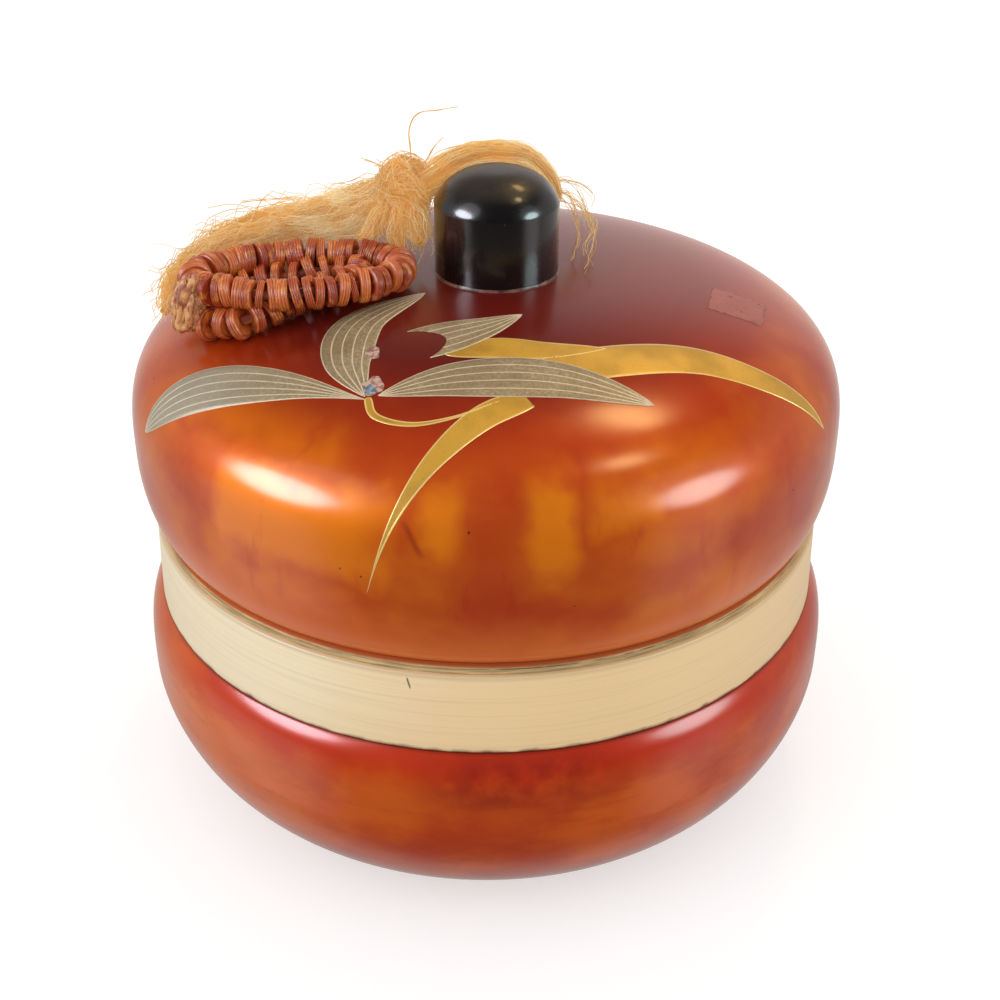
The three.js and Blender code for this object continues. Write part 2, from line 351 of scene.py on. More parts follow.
def cloud(place, size, detail=2.0, roughness=0.5):
    """Soft random patches, about size across, from 0 to 1 and mostly near a half."""
    return place.node("ShaderNodeTexNoise", {}, {
        "Vector": place, "Scale": 1 / size, "Detail": detail, "Roughness": roughness})


def shade(start, values, bump=None, bump_height=0.1):
    """The shader of a finish. Its values are the shader's sockets, and bump_height is in millimetres."""
    values = dict(values)
    if bump:
        values["Normal"] = start.node("ShaderNodeBump", {}, {
            "Strength": 1.0, "Distance": bump_height * mm, "Height": bump})
    surface = start.node("ShaderNodeBsdfPrincipled", {}, values)
    start.node("ShaderNodeOutputMaterial", {}, {"Surface": surface})


def foil_cells(place, size):
    """Leaves of foil under the lacquer: squarish patches, each of its own tone from 0 to 1. They fade out at
    the back, where one side's patches would meet the other's in a seam."""
    axes = place.node("ShaderNodeSeparateXYZ", {}, {0: place})
    turn = axes.other("X").maths("ARCTAN2", axes.other("Y") * -1)
    wobble = cloud(place, 9, 3) * 0.6
    foil_radius = 60
    flat = place.node("ShaderNodeCombineXYZ", {}, {
        "X": turn * foil_radius / size + wobble, "Y": axes.other("Z") / size - wobble})
    cells = place.node("ShaderNodeTexVoronoi", {"distance": "CHEBYCHEV", "feature": "SMOOTH_F1"}, {
        "Vector": flat, "Scale": 1.0, "Smoothness": 0.7, "Randomness": 0.8}, "Color")
    tone = place.node("ShaderNodeSeparateColor", {}, {0: cells})
    behind = ease(turn.maths("ABSOLUTE"), 2.4, 3.0)
    return tone * (1 - behind) + behind * 0.5


def specks(place, spacing, size, share):
    """Small round specks, one to a cell of the given spacing, in a share of the cells."""
    cells = place.node("ShaderNodeTexVoronoi", {}, {"Vector": place, "Scale": 1 / spacing})
    dot = ease(cells, size / spacing, 0.6 * size / spacing)
    chosen = place.node("ShaderNodeSeparateColor", {}, {0: cells.other("Color")})
    return dot * ease(chosen, 1 - share, 1 - share + 0.01)


def red_lacquer():
    material, place = new_finish("red lacquer")
    axes = place.node("ShaderNodeSeparateXYZ", {}, {0: place})
    height = axes.other("Z")
    turn = axes.maths("ARCTAN2", axes.other("Y") * -1) * 180 / math.pi
    glow = foil_cells(place, 15) * 0.35 + cloud(stretched(place, 1, 1, 1.8), 14, 4, 0.6) * 0.65
    colour = blend(ease(glow, 0.3, 0.7), paint(190, 60, 12), paint(218, 94, 16))
    # Painted light: the left side is painted a lighter orange, standing for the left window's glow on the
    # foil.
    left = ease(turn + cloud(place, 12) * 30, 5, -40) * ease(turn, -172, -130)
    colour = blend(left * 0.7, colour, paint(226, 116, 34))
    red_edge = ease(height + cloud(place, 8, 3) * 6, 33, 39)
    red_edge = red_edge * (0.3 + ease(turn.maths("ABSOLUTE"), 62, 46) * 0.55)
    colour = blend(red_edge, colour, paint(190, 40, 12))
    dark_edge = between(turn, -6, 17, 7) * between(height, 30, 37, 2.5) * ease(cloud(place, 5, 3), 0.3, 0.6)
    colour = blend(dark_edge * 0.75, colour, paint(140, 28, 12))
    streaks = ease(cloud(stretched(place, 1, 1, 4.5), 9, 4, 0.6), 0.5, 0.72)
    colour = blend(streaks * 0.35, colour, paint(180, 48, 14))
    # Painted shade and painted reflection: below the belly the lacquer is painted a dull brown, standing for
    # the shade under it and the floor it mirrors.
    colour = blend(ease(height, 17, 3) * 0.7, colour, paint(168, 76, 52))
    inside = ease(height, 37.4, 38.6)
    colour = blend(inside, colour, paint(34, 14, 10))
    rough = 0.44 + cloud(place, 5, 3) * 0.14
    bump = cloud(place, 7, 3) + specks(place, 5, 0.35, 0.25) * 0.5
    shade(place, {"Base Color": colour, "Metallic": 0.3 - red_edge * 0.25, "Roughness": rough,
                  "Specular IOR Level": 0.0, "Coat Weight": 1.0, "Coat Roughness": 0.2,
                  "Coat IOR": 1.5}, bump, 0.05)
    return material


bowl_shoulder_depth = 3.05 * mm
bowl_shoulder_power = 4.3
bowl_shoulder_rise = seat_height - bowl_belly_height
bowl_shoulder_steps = [i / 20 for i in range(21)]
throat_height = seat_height - wall
bowl_inner = bowl_radius - wall - foot_radius
bowl_shoulder = [(bowl_radius - bowl_shoulder_depth * step ** bowl_shoulder_power,
                  bowl_belly_height + bowl_shoulder_rise * step) for step in bowl_shoulder_steps]
seat_edge = bowl_shoulder[-1]
collar_foot = (collar_outer, seat_height)
collar_edge = (collar_outer, bowl_high.z)
collar_lip = (collar_inner, bowl_high.z)
throat = (collar_inner, throat_height)
bowl_profile = [
    (0, 0),
    *quarter((foot_radius, bowl_belly_height), (bowl_radius - foot_radius, -bowl_belly_height),
             (2.25, 1.65), 1, 0, 48),
    *bowl_shoulder[1:-1],
    *eased_corner(bowl_shoulder[-2], seat_edge, collar_foot, 0.5 * mm),
    collar_foot,
    *eased_corner(collar_foot, collar_edge, collar_lip, 0.6 * mm),
    *eased_corner(collar_edge, collar_lip, throat, 0.6 * mm),
    throat,
    *quarter((foot_radius, bowl_belly_height), (bowl_inner, throat_height - bowl_belly_height),
             (2, 2), 0.55, 0, 10),
    *quarter((foot_radius, bowl_belly_height), (bowl_inner, bowl_floor - bowl_belly_height),
             (2.2, 1.8), 0, 1, 24)[1:],
    (0, bowl_floor),
]
bowl = turned("lacquered_bowl", bowl_profile, red_lacquer())
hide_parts("bowl")
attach(bowl, "root")


# Band
# A plain ring round the bowl's collar, painted cream by hand on the lathe, so that it has fine level brush
# lines. Dust and old lacquer darken it where it meets the bowl, and a small chip shows near its top.

band_inner = collar_outer + 0.3 * mm
band_top_radius = 60 * mm
chip_side = -11.9
chip_height = 50.6


def cream_lacquer():
    material, place = new_finish("cream lacquer")
    axes = place.node("ShaderNodeSeparateXYZ", {}, {0: place})
    height = axes.other("Z")
    lines = cloud(stretched(place, 0.02, 0.02, 3), 1, 3, 0.65)
    # Painted light: the band is painted paler on its left and a darker, yellower cream on its right,
    # standing for the stronger light from the left window.
    painted_right_shade = ease(axes.other("X") + cloud(stretched(place, 1, 1, 2), 20, 2) * 30, -30, 25)
    colour = blend(painted_right_shade, paint(255, 238, 202), paint(252, 218, 164))
    colour = blend(ease(lines, 0.5, 0.72) * 0.3, colour, paint(214, 180, 122))
    dirt = ease(height + cloud(place, 3, 3) * 1.2, 39.6, 38.6)
    colour = blend(dirt, colour, paint(92, 56, 36))
    # Painted shade: the band's top millimetre is painted a darker tan where the lid's bulge overhangs it.
    colour = blend(ease(height, 51.3, 52.1) * 0.4, colour, paint(190, 168, 128))
    colour = blend(specks(place, 9, 0.3, 0.2) * 0.7, colour, paint(120, 90, 60))
    chip = between(axes.other("X") + (height - chip_height) * 0.25, chip_side, chip_side + 0.25, 0.12)
    chip = chip * between(height, chip_height - 0.9, chip_height + 0.9, 0.3) * ease(axes.other("Y"), 0, -1)
    colour = blend(chip, colour, paint(92, 76, 60))
    shade(place, {"Base Color": colour, "Roughness": 0.42 + lines * 0.1, "Coat Weight": 0.25,
                  "Coat Roughness": 0.25}, lines, 0.04)
    return material


band_corners = [(band_inner, band_low.z), (band_high.x, band_low.z), (band_top_radius, band_high.z),
                (band_inner, band_high.z)]
band_profile = [band_corners[0]]
for before, corner, after in zip(band_corners, band_corners[1:], band_corners[2:]):
    band_profile += eased_corner(before, corner, after, 0.35 * mm)
band_profile += [band_corners[-1], band_corners[0]]
band = turned("cream_band", band_profile, cream_lacquer())
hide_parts("band")
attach(band, "root")


# Lid
# The upper half, a hollow turned dome in clear amber lacquer over foil, with a bare strip at its rim
# painted a grained tan, darker than the band as painted shade under the dome's overhang. The foil shows as
# squarish gold and red patches. The upper dome is painted darker, to dark maroon on the flat top, as painted
# shade and a painted dark reflection of the room, and the lower flanks a lighter orange as painted light.

lid_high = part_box("lid")[1]
lid_radius = lid_high.x
lid_belly_height = 66.8 * mm
lid_top = 94.3 * mm
dome_powers = (2.34, 3.6)
undercut_depth = 4.87 * mm
undercut_rise = 13.2 * mm
rim_radius = 59.3 * mm
rim_height = 1.2 * mm
groove_height = 1.5 * mm
bore_radius = 54.6 * mm
knob_seat_radius = 12.6 * mm
knob_seat_height = lid_high.z


def lid_height(radius):
    rise = (1 - min(radius / lid_radius, 1) ** dome_powers[0]) ** (1 / dome_powers[1])
    return lid_belly_height + (lid_top - lid_belly_height) * rise


def amber_lacquer():
    material, place = new_finish("amber lacquer")
    axes = place.node("ShaderNodeSeparateXYZ", {}, {0: place})
    x = axes.other("X")
    y = axes.other("Y")
    height = axes.other("Z")
    turn = x.maths("ARCTAN2", y * -1) * 180 / math.pi
    radius = (x * x + y * y) ** 0.5
    uneven = cloud(place, 6, 2) * 7 - 3.5
    ragged_turn = turn + uneven * 0.55
    ragged_height = height + uneven
    tone = foil_cells(place, 12) * 0.3 + cloud(stretched(place, 1, 1, 1.6), 14, 3) * 0.7
    gold = ease(tone, 0.3, 0.8) * 0.7
    for low_turn, high_turn, low_height, high_height, strength in gold_patches:
        patch = between(ragged_turn, low_turn, high_turn, 2.2)
        patch = patch * between(ragged_height, low_height, high_height, 3.4)
        gold = gold.maths("MAXIMUM", patch * strength)
    for low_turn, high_turn, low_height, high_height, strength in red_patches:
        patch = between(ragged_turn, low_turn, high_turn, 3)
        patch = patch * between(ragged_height, low_height, high_height, 3.4)
        gold = gold * (1 - patch * strength)
    colour = blend(ease(cloud(place, 26, 2), 0.35, 0.65), paint(184, 58, 12), paint(194, 70, 14))
    colour = blend(gold, colour, paint(230, 124, 6))
    red_streak = ease(cloud(stretched(place, 1, 1, 0.3), 4.5, 4, 0.6), 0.56, 0.72)
    colour = blend(red_streak * between(height, 58, 80, 4) * 0.4, colour, paint(180, 38, 12))
    # Painted light and shade: the lower flanks are painted a lighter orange and the upper dome darker, down
    # to dark maroon on the flat top, standing for the bright floor and the dark room that the foil mirrors.
    colour = blend(ease(height + cloud(place, 12, 3) * 9, 72, 60) * 0.7, colour, paint(248, 128, 54))
    colour = blend(ease(radius + uneven * 0.8, 56, 45) * ease(height, 70, 84), colour, paint(168, 50, 12))
    painted_top_shade = ease(radius + uneven * 0.8, 50, 34) * ease(height, 80, 89)
    colour = blend(painted_top_shade * (1 - ease(x, 6, 34) * 0.4), colour, paint(112, 26, 17))
    scuff = between(turn + (height - 77.2) * 0.52, -10.3, -9.5, 0.5) * between(height, 74.8, 79.4, 0.9)
    colour = blend(scuff * 0.6, colour, paint(140, 30, 14))
    for mark_turn, mark_height, size in dark_marks:
        aside = (turn - mark_turn) * 1.05
        away = (aside * aside + (height - mark_height) ** 2) ** 0.5
        colour = blend(ease(away, size, size * 0.4), colour, paint(70, 22, 12))
    colour = blend(specks(place, 4.5, 0.22, 0.12) * 0.8, colour, paint(70, 20, 12))
    # Painted shade: the bare strip at the rim is painted a grained tan, darker than the cream band, standing
    # for the shade under the dome's overhang.
    bare = ease(height, lid_bare_top - 0.25, lid_bare_top - 0.5)
    colour = blend(ease(height, lid_bare_top + 0.1, lid_bare_top - 0.1), colour, paint(196, 112, 62))
    rim_grain = ease(cloud(stretched(place, 0.3, 0.3, 4), 2, 3), 0.35, 0.7)
    colour = blend(bare, colour, blend(rim_grain, paint(176, 152, 112), paint(224, 196, 148)))
    lip_line = between(height, 53.35, 53.5, 0.1) * ease(cloud(place, 6, 4), 0.38, 0.6)
    lip_line = lip_line * (0.45 + between(turn, 2, 46, 6) * 0.55)
    colour = blend(lip_line, colour, paint(46, 30, 24))
    rough = 0.44 + cloud(place, 6, 3) * 0.14 + bare * 0.3
    brush_marks = cloud(stretched(place, 1, 1, 0.15), 1.2, 2)
    bump = cloud(place, 7, 3) + brush_marks * 0.25 + specks(place, 6, 0.4, 0.2) * 0.5
    shade(place, {"Base Color": colour, "Metallic": 0.3, "Roughness": rough, "Specular IOR Level": 0.0,
                  "Coat Weight": 1 - bare, "Coat Roughness": 0.2, "Coat IOR": 1.5}, bump, 0.05)
    return material


lid_bare_top = 54
# Dark marks are given as turn, height and size. Patches are given as two turns, two heights and a strength.
dark_marks = [(-2.3, 78.6, 0.24), (-20, 71, 0.2), (50.5, 73.2, 0.26), (12, 66, 0.16)]
gold_patches = [
    (-9.4, -2.8, 74, 84, 1.0), (5.2, 12.6, 71, 84, 1.0), (-42, -12, 69, 83, 0.9), (14.6, 26, 76, 84, 0.7),
    (-55, -28, 83, 89, 0.6),
]
red_patches = [
    (-3, 4.8, 60, 82, 0.85), (-22, 9, 85.5, 91, 0.9), (-16, -9, 74, 79, 0.5), (30, 44, 86, 91, 0.8),
]
lid_bottom = band_high.z
groove_top = lid_bottom + groove_height
undercut_start = part_of_turn(lid_belly_height - groove_top, undercut_rise)
undercut = quarter((lid_radius - undercut_depth, lid_belly_height), (undercut_depth, -undercut_rise),
                   (2, 2), undercut_start, 0, 24)
dome = quarter((0, lid_belly_height), (lid_radius, lid_top - lid_belly_height), dome_powers, 0, 1, 110)
inner_dome = quarter((0, lid_belly_height), (lid_radius - wall, lid_top - wall - lid_belly_height),
                     dome_powers, 1, 0, 36)
bore_foot = (bore_radius, lid_bottom)
rim_foot = (rim_radius, lid_bottom)
rim_edge = (rim_radius, lid_bottom + rim_height)
bore_end = (bore_radius, lid_bottom + 6 * mm)
lid_profile = [
    *eased_corner(bore_end, bore_foot, rim_foot, 0.4 * mm),
    *eased_corner(bore_foot, rim_foot, rim_edge, 0.25 * mm),
    *eased_corner(rim_foot, rim_edge, undercut[0], 0.25 * mm),
    *undercut,
    *[place for place in dome[1:] if place[0] > knob_seat_radius],
    (knob_seat_radius, knob_seat_height),
    (0, knob_seat_height),
    *inner_dome,
    bore_end,
]
lid_profile.append(lid_profile[0])
lid = turned("lacquered_lid", lid_profile, amber_lacquer())
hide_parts("lid")
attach(lid, "root")


# Painted leaves
# Long bamboo-like leaves laid on the lid in silver and gold powder, a hair thicker than the lacquer. The
# silver ones have fine pale ribs and a painted highlight along their edges. They spring from one joint, and
# thin stems and blades run out from it.

lid_walk = [(0, lid_top)] + dome[::-1][1:] + undercut[::-1][1:]
walk_radius = np.array([place[0] for place in lid_walk])
walk_height = np.array([place[1] for place in lid_walk])
walk_length = np.concatenate([[0], np.cumsum(np.hypot(np.diff(walk_radius), np.diff(walk_height)))])


def on_lid(across, along, lift):
    """A place on the lid from millimetres measured over its surface, right and back from its centre."""
    distance = math.hypot(across, along) * mm
    step = 0.2 * mm
    radius, ahead = np.interp([distance, distance + step], walk_length, walk_radius)
    height, below = np.interp([distance, distance + step], walk_length, walk_height)
    slope = Vector((ahead - radius, below - height)).normalized()
    radius += -slope.y * lift
    height += slope.x * lift
    return Vector((across * mm / distance * radius, along * mm / distance * radius, height))


def smooth_path(places, steps, closed=False):
    """A smooth line through places, the same centripetal curve that the construction uses."""
    places = [Vector(place) for place in places]
    if closed:
        places = [places[-1], *places, places[0], places[1]]
    else:
        places = [places[0] * 2 - places[1], *places, places[-1] * 2 - places[-2]]
    line = []
    for a, b, c, d in zip(places, places[1:], places[2:], places[3:]):
        first = math.sqrt((b - a).length)
        second = math.sqrt((c - b).length)
        third = math.sqrt((d - c).length)
        for i in range(steps):
            t = first + second * i / steps
            ab = a.lerp(b, t / first)
            bc = b.lerp(c, (t - first) / second)
            cd = c.lerp(d, (t - first - second) / third)
            abc = ab.lerp(bc, t / (first + second))
            bcd = bc.lerp(cd, (t - first) / (second + third))
            line.append(abc.lerp(bcd, (t - first) / second))
    if not closed:
        line.append(places[-2])
    return line


def blade_mesh(spine, width, fullest, begin=0.0, bite=0.0, fullness=0.8, lift=0.05):
    """A leaf over the lid. width is half its widest, fullest where along it that is, from 0 to 1. A blade
    that begins after 0 starts broad, and bite hollows that start."""
    line = smooth_path([Vector((*place, 0)) for place in spine], 16)
    bend = math.log(0.5) / math.log(fullest)
    rows = len(line)
    columns = 12
    places = []
    halves = []
    corners = []
    for i in range(rows):
        for j in range(columns + 1):
            across = 2 * j / columns - 1
            t = i / (rows - 1)
            t += bite * (1 - t) ** 2 * (1 - across ** 2)
            middle = line[min(int(t * (rows - 1)), rows - 2)].lerp(
                line[min(int(t * (rows - 1)) + 1, rows - 1)], t * (rows - 1) % 1 if t < 1 else 1)
            ahead = line[min(i + 1, rows - 1)] - line[max(i - 1, 0)]
            side = Vector((-ahead.y, ahead.x, 0)).normalized()
            grown_part = begin + (1 - begin) * t
            half = width * max(math.sin(math.pi * min(grown_part, 1) ** bend), 0) ** fullness + 0.04
            place = middle + side * half * across
            places.append(on_lid(place.x, place.y, lift * mm))
            halves.append(half)
            corners.append((t, across))
    faces = []
    for i in range(rows - 1):
        for j in range(columns):
            first = i * (columns + 1) + j
            faces.append((first, first + columns + 1, first + columns + 2, first + 1))
    return places, faces, halves, corners


def laid_on(name, blades, finish):
    """One inlay piece from several blades, each a thin closed wafer set into the lacquer."""
    places = []
    faces = []
    halves = []
    corners = []
    for blade in blades:
        more_places, more_faces, more_halves, more_corners = blade_mesh(**blade)
        faces += [[index + len(places) for index in face] for face in more_faces]
        places += more_places
        halves += more_halves
        corners += more_corners
    mesh = bpy.data.meshes.new(name)
    mesh.from_pydata(places, [], faces)
    uv = mesh.uv_layers.new(name="UVMap")
    for loop in mesh.loops:
        uv.data[loop.index].uv = corners[loop.vertex_index]
    half = mesh.attributes.new("half_width", "FLOAT", "POINT")
    half.data.foreach_set("value", halves)
    if mesh.polygons[0].normal.z < 0:
        mesh.flip_normals()
    for polygon in mesh.polygons:
        polygon.use_smooth = True
    piece = add_object(name, mesh)
    thick = piece.modifiers.new("thickness", "SOLIDIFY")
    thick.thickness = 0.12 * mm
    thick.offset = -1
    mesh.materials.append(finish)
    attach(piece, "root")
    return piece


def leaf_lines(place):
    """How far each place on a blade is from its midline, from -1 to 1, half the blade's width there, and how
    far the place is from the blade's edge. The widths are in millimetres."""
    flat = place.node("ShaderNodeUVMap", {"uv_map": "UVMap"})
    across = place.node("ShaderNodeSeparateXYZ", {}, {0: flat}, "Y")
    half = place.node("ShaderNodeAttribute", {"attribute_name": "half_width"}, {}, "Fac")
    edge = (1 - across.maths("ABSOLUTE")) * half
    return across, half, edge


def silver_powder():
    material, place = new_finish("silver powder")
    across, half, edge = leaf_lines(place)
    grain = cloud(place, 0.5, 3, 0.7)
    colour = blend(ease(grain, 0.35, 0.7), paint(146, 124, 90), paint(184, 162, 122))
    colour = blend(ease(cloud(place, 8, 2), 0.4, 0.65) * 0.5, colour, paint(136, 112, 76))
    cool = ease(place.node("ShaderNodeSeparateXYZ", {}, {0: place}), -24, -44)
    colour = blend(cool * 0.6, colour, paint(170, 166, 148))
    # Painted highlight: a pale line along each blade's edge stands for light caught on its raised rim. The
    # lines inside it are ribs.
    ribs_and_edge_highlight = ease(edge, 0.24, 0.12)
    for rib in (-0.6, -0.2, 0.2, 0.6):
        away = (across - rib).maths("ABSOLUTE") * half
        ribs_and_edge_highlight = ribs_and_edge_highlight.maths("MAXIMUM", ease(away, 0.15, 0.07))
    colour = blend(ribs_and_edge_highlight * (0.4 + cloud(place, 1.5, 2) * 0.6), colour, paint(240, 220, 188))
    shade(place, {"Base Color": colour, "Metallic": 0.2, "Roughness": 0.5, "Coat Weight": 0.15,
                  "Coat Roughness": 0.35}, grain + ribs_and_edge_highlight, 0.03)
    return material


def gold_powder():
    material, place = new_finish("gold powder")
    across, half, edge = leaf_lines(place)
    grain = cloud(place, 0.45, 3, 0.75)
    colour = blend(ease(cloud(place, 9, 2), 0.35, 0.65), paint(198, 148, 44), paint(230, 174, 58))
    colour = blend(ease(grain, 0.55, 0.78) * 0.5, colour, paint(142, 100, 30))
    rim_line = ease(edge, 0.32, 0.16)
    colour = blend(rim_line, colour, paint(250, 214, 130))
    shade(place, {"Base Color": colour, "Metallic": 0.35, "Roughness": 0.42, "Coat Weight": 0.4,
                  "Coat Roughness": 0.25}, grain + rim_line, 0.03)
    return material


laid_on("gold_leaves", [
    {"spine": [(-6.5, -31.2), (1, -29.6), (9, -30), (18.8, -28.6)], "width": 2.9, "fullest": 0.42},
    {"spine": [(9, -36.2), (20, -31.7), (32, -28.9), (46, -29.8), (58.9, -30.4)], "width": 4.0,
     "fullest": 0.42, "begin": 0.22},
    {"spine": [(6.2, -42.6), (0.2, -46.2), (-6.8, -53.4), (-13.8, -62.5), (-21.3, -73.4)], "width": 2.45,
     "fullest": 0.3, "begin": 0.14, "fullness": 1.5},
    {"spine": [(-17.8, -41.2), (-16.6, -45.2), (-11.4, -47.6), (-5, -46.7), (2, -43.2)], "width": 0.62,
     "fullest": 0.12, "fullness": 0.7},
], gold_powder())
laid_on("silver_leaves", [
    {"spine": [(-18, -41.7), (-31, -35.9), (-46, -31), (-60.3, -29.8)], "width": 4.7,
     "fullest": 0.62, "lift": 0.08},
    {"spine": [(-18.2, -41), (-21.4, -31.5), (-20.2, -21), (-10, -10.6)], "width": 4.4,
     "fullest": 0.52, "lift": 0.09},
    {"spine": [(-16.2, -41), (-4, -37.9), (10, -37.6), (25.4, -41.6)], "width": 4.9,
     "fullest": 0.52, "lift": 0.08},
    {"spine": [(-10.5, -28.2), (-5, -25.6), (0.3, -22.8), (5.8, -18.9)], "width": 4.6, "fullest": 0.4,
     "begin": 0.3, "bite": 0.25, "lift": 0.08},
], silver_powder())


# Shell chips and seal
# Small flakes of shell set in the joint of the leaves, and a worn lozenge of red paint on the right. The
# lozenge is left plain.

def flake(name, centre, size, seed, finish, corners, lift=0.12):
    """A small flat chip with an uneven outline, laid on the lid."""
    places = [on_lid(*centre, lift * mm)]
    for i in range(corners):
        angle = math.tau * i / corners
        reach = 1 + 0.8 * noise.noise(Vector((seed, i * 1.7, 0)))
        places.append(on_lid(centre[0] + size[0] * reach * math.cos(angle),
                             centre[1] + size[1] * reach * math.sin(angle), lift * mm))
    mesh = bpy.data.meshes.new(name)
    mesh.from_pydata(places, [], [(0, 1 + i, 1 + (i + 1) % corners) for i in range(corners)])
    piece = add_object(name, mesh)
    thick = piece.modifiers.new("thickness", "SOLIDIFY")
    thick.thickness = 0.25 * mm
    thick.offset = -1
    mesh.materials.append(finish)
    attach(piece, "root")


def shell(name, dark, light):
    material, place = new_finish(name)
    shimmer = cloud(place, 0.8, 3)
    colour = blend(ease(shimmer, 0.4, 0.6), dark, light)
    shade(place, {"Base Color": colour, "Roughness": 0.25, "Coat Weight": 0.6,
                  "Coat Roughness": 0.1}, shimmer, 0.1)
    return material


pink_shell = shell("pink shell", paint(146, 104, 92), paint(206, 168, 152))
blue_shell = shell("blue shell", paint(92, 116, 142), paint(168, 170, 166))
flake("lower_shell_chip", (-17, -38.8), (1.7, 2.3), 3, pink_shell, corners=11)
flake("lower_blue_chip", (-17.4, -39.6), (1.0, 1.3), 5, blue_shell, corners=8, lift=0.15)
flake("upper_shell_chip", (-17.6, -30), (1.1, 1.7), 8, pink_shell, corners=9)


def red_paint():
    material, place = new_finish("red seal paint")
    flat = place.node("ShaderNodeUVMap", {"uv_map": "UVMap"})
    axes = place.node("ShaderNodeSeparateXYZ", {}, {0: flat})
    rough_edge = cloud(place, 1.4, 3, 0.6) * 0.16
    inset = (axes.other("X") - 0.5).maths("ABSOLUTE")
    inset = inset.maths("MAXIMUM", (axes.other("Y") - 0.5).maths("ABSOLUTE"))
    kept = ease(inset + rough_edge, 0.56, 0.52) * ease(cloud(place, 1.1, 3, 0.6), 0.72, 0.62)
    colour = blend(cloud(place, 2, 2), paint(150, 58, 46), paint(180, 86, 68))
    shade(place, {"Base Color": colour, "Roughness": 0.45, "Coat Weight": 0.4, "Coat Roughness": 0.2,
                  "Alpha": kept})
    return material


seal_centre = (42.6, -7.4)
seal_half = 5.2
seal_lean = math.radians(-14)
seal_steps = 8
seal_places = []
seal_uv = []
for i in range(seal_steps + 1):
    for j in range(seal_steps + 1):
        u = i / seal_steps
        v = j / seal_steps
        offset = Matrix.Rotation(seal_lean, 2) @ Vector((2 * u - 1, 2 * v - 1)) * seal_half
        seal_places.append(on_lid(seal_centre[0] + offset.x, seal_centre[1] + offset.y, 0.04 * mm))
        seal_uv.append((u, v))
seal_faces = [(i * (seal_steps + 1) + j, (i + 1) * (seal_steps + 1) + j, (i + 1) * (seal_steps + 1) + j + 1,
               i * (seal_steps + 1) + j + 1) for i in range(seal_steps) for j in range(seal_steps)]
seal_mesh = bpy.data.meshes.new("red_seal")
seal_mesh.from_pydata(seal_places, [], seal_faces)
seal_map = seal_mesh.uv_layers.new(name="UVMap")
for loop in seal_mesh.loops:
    seal_map.data[loop.index].uv = seal_uv[loop.vertex_index]
seal = add_object("red_seal", seal_mesh)
seal_thickness = seal.modifiers.new("thickness", "SOLIDIFY")
seal_thickness.thickness = 0.1 * mm
seal_mesh.materials.append(red_paint())
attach(seal, "root")


# Knob
# A short upright cylinder of black lacquer with a bowed crown, glued on the lid a little right of its
# centre. Its crown is dusty and finely scratched on top, and a line of old glue runs round its foot.

knob_low, knob_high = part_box("knob")
knob_radius = 10.55 * mm
knob_centre = (knob_low.x + knob_high.x) / 2
# The crown is a little fuller near its edge than the construction's, and ends at the same top.
knob_crown_rise = 5.7 * mm
knob_crown_powers = (2.8, 1.4)
knob_side_top = knob_high.z - knob_crown_rise


def black_lacquer():
    material, place = new_finish("black lacquer")
    height = place.node("ShaderNodeSeparateXYZ", {}, {0: place}, "Z")
    crown = ease(height, knob_side_top / mm + 2, knob_side_top / mm + 4.4)
    film = crown * (0.5 + cloud(place, 3, 3) * 0.5)
    grit = ease(cloud(place, 0.5, 4, 0.75), 0.62, 0.74) * crown
    colour = blend(film * 0.6, paint(17, 14, 14), paint(66, 54, 44))
    colour = blend(grit * 0.5, colour, paint(150, 130, 108))
    colour = blend(specks(place, 1.6, 0.1, 0.12), colour, paint(150, 136, 120))
    scratches = ease(cloud(stretched(place, 0.25, 2.6, 0.6), 1, 4, 0.7), 0.56, 0.72)
    shade(place, {"Base Color": colour, "Roughness": 0.24 + crown * 0.2 + scratches * 0.1,
                  "IOR": 1.5, "Coat Weight": 0.6 - crown * 0.3, "Coat Roughness": 0.12},
          cloud(place, 4, 2) + scratches * 0.2, 0.02)
    return material


knob_profile = [
    (0, knob_seat_height),
    (knob_radius, knob_seat_height),
    *quarter((0, knob_side_top), (knob_radius, knob_crown_rise), knob_crown_powers, 0, 1, 48),
]
knob = turned("black_knob", knob_profile, black_lacquer(), 128, knob_centre)
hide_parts("knob")
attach(knob, "root")


def old_glue():
    material, place = new_finish("old glue")
    colour = blend(ease(cloud(place, 1.6, 3), 0.35, 0.65), paint(70, 34, 30), paint(132, 84, 70))
    shade(place, {"Base Color": colour, "Roughness": 0.35, "Coat Weight": 0.3}, cloud(place, 0.7, 3), 0.1)
    return material


glue_size = 0.42 * mm
glue_profile = [
    (knob_radius - 0.1 * mm, knob_seat_height - 0.1 * mm),
    (knob_radius + glue_size, knob_seat_height - 0.1 * mm),
    (knob_radius + 0.4 * glue_size, knob_seat_height + 0.25 * glue_size),
    (knob_radius + 0.05 * mm, knob_seat_height + 0.9 * glue_size),
    (knob_radius - 0.1 * mm, knob_seat_height + 0.9 * glue_size),
    (knob_radius - 0.1 * mm, knob_seat_height - 0.1 * mm),
]
glue = turned("glue_line", glue_profile, old_glue(), 160, knob_centre)
for vertex in glue.data.vertices:
    place = vertex.co / mm
    vertex.co.z += 0.28 * mm * max(noise.noise(place * 0.45), 0) * (vertex.co.z > knob_seat_height)
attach(glue, "root")


# Loop of discs
# Thin red-brown discs of wound fibre threaded close together on a cord, laid in two turns on the lid, with
# a husk of dry fibre where the ends are tied.

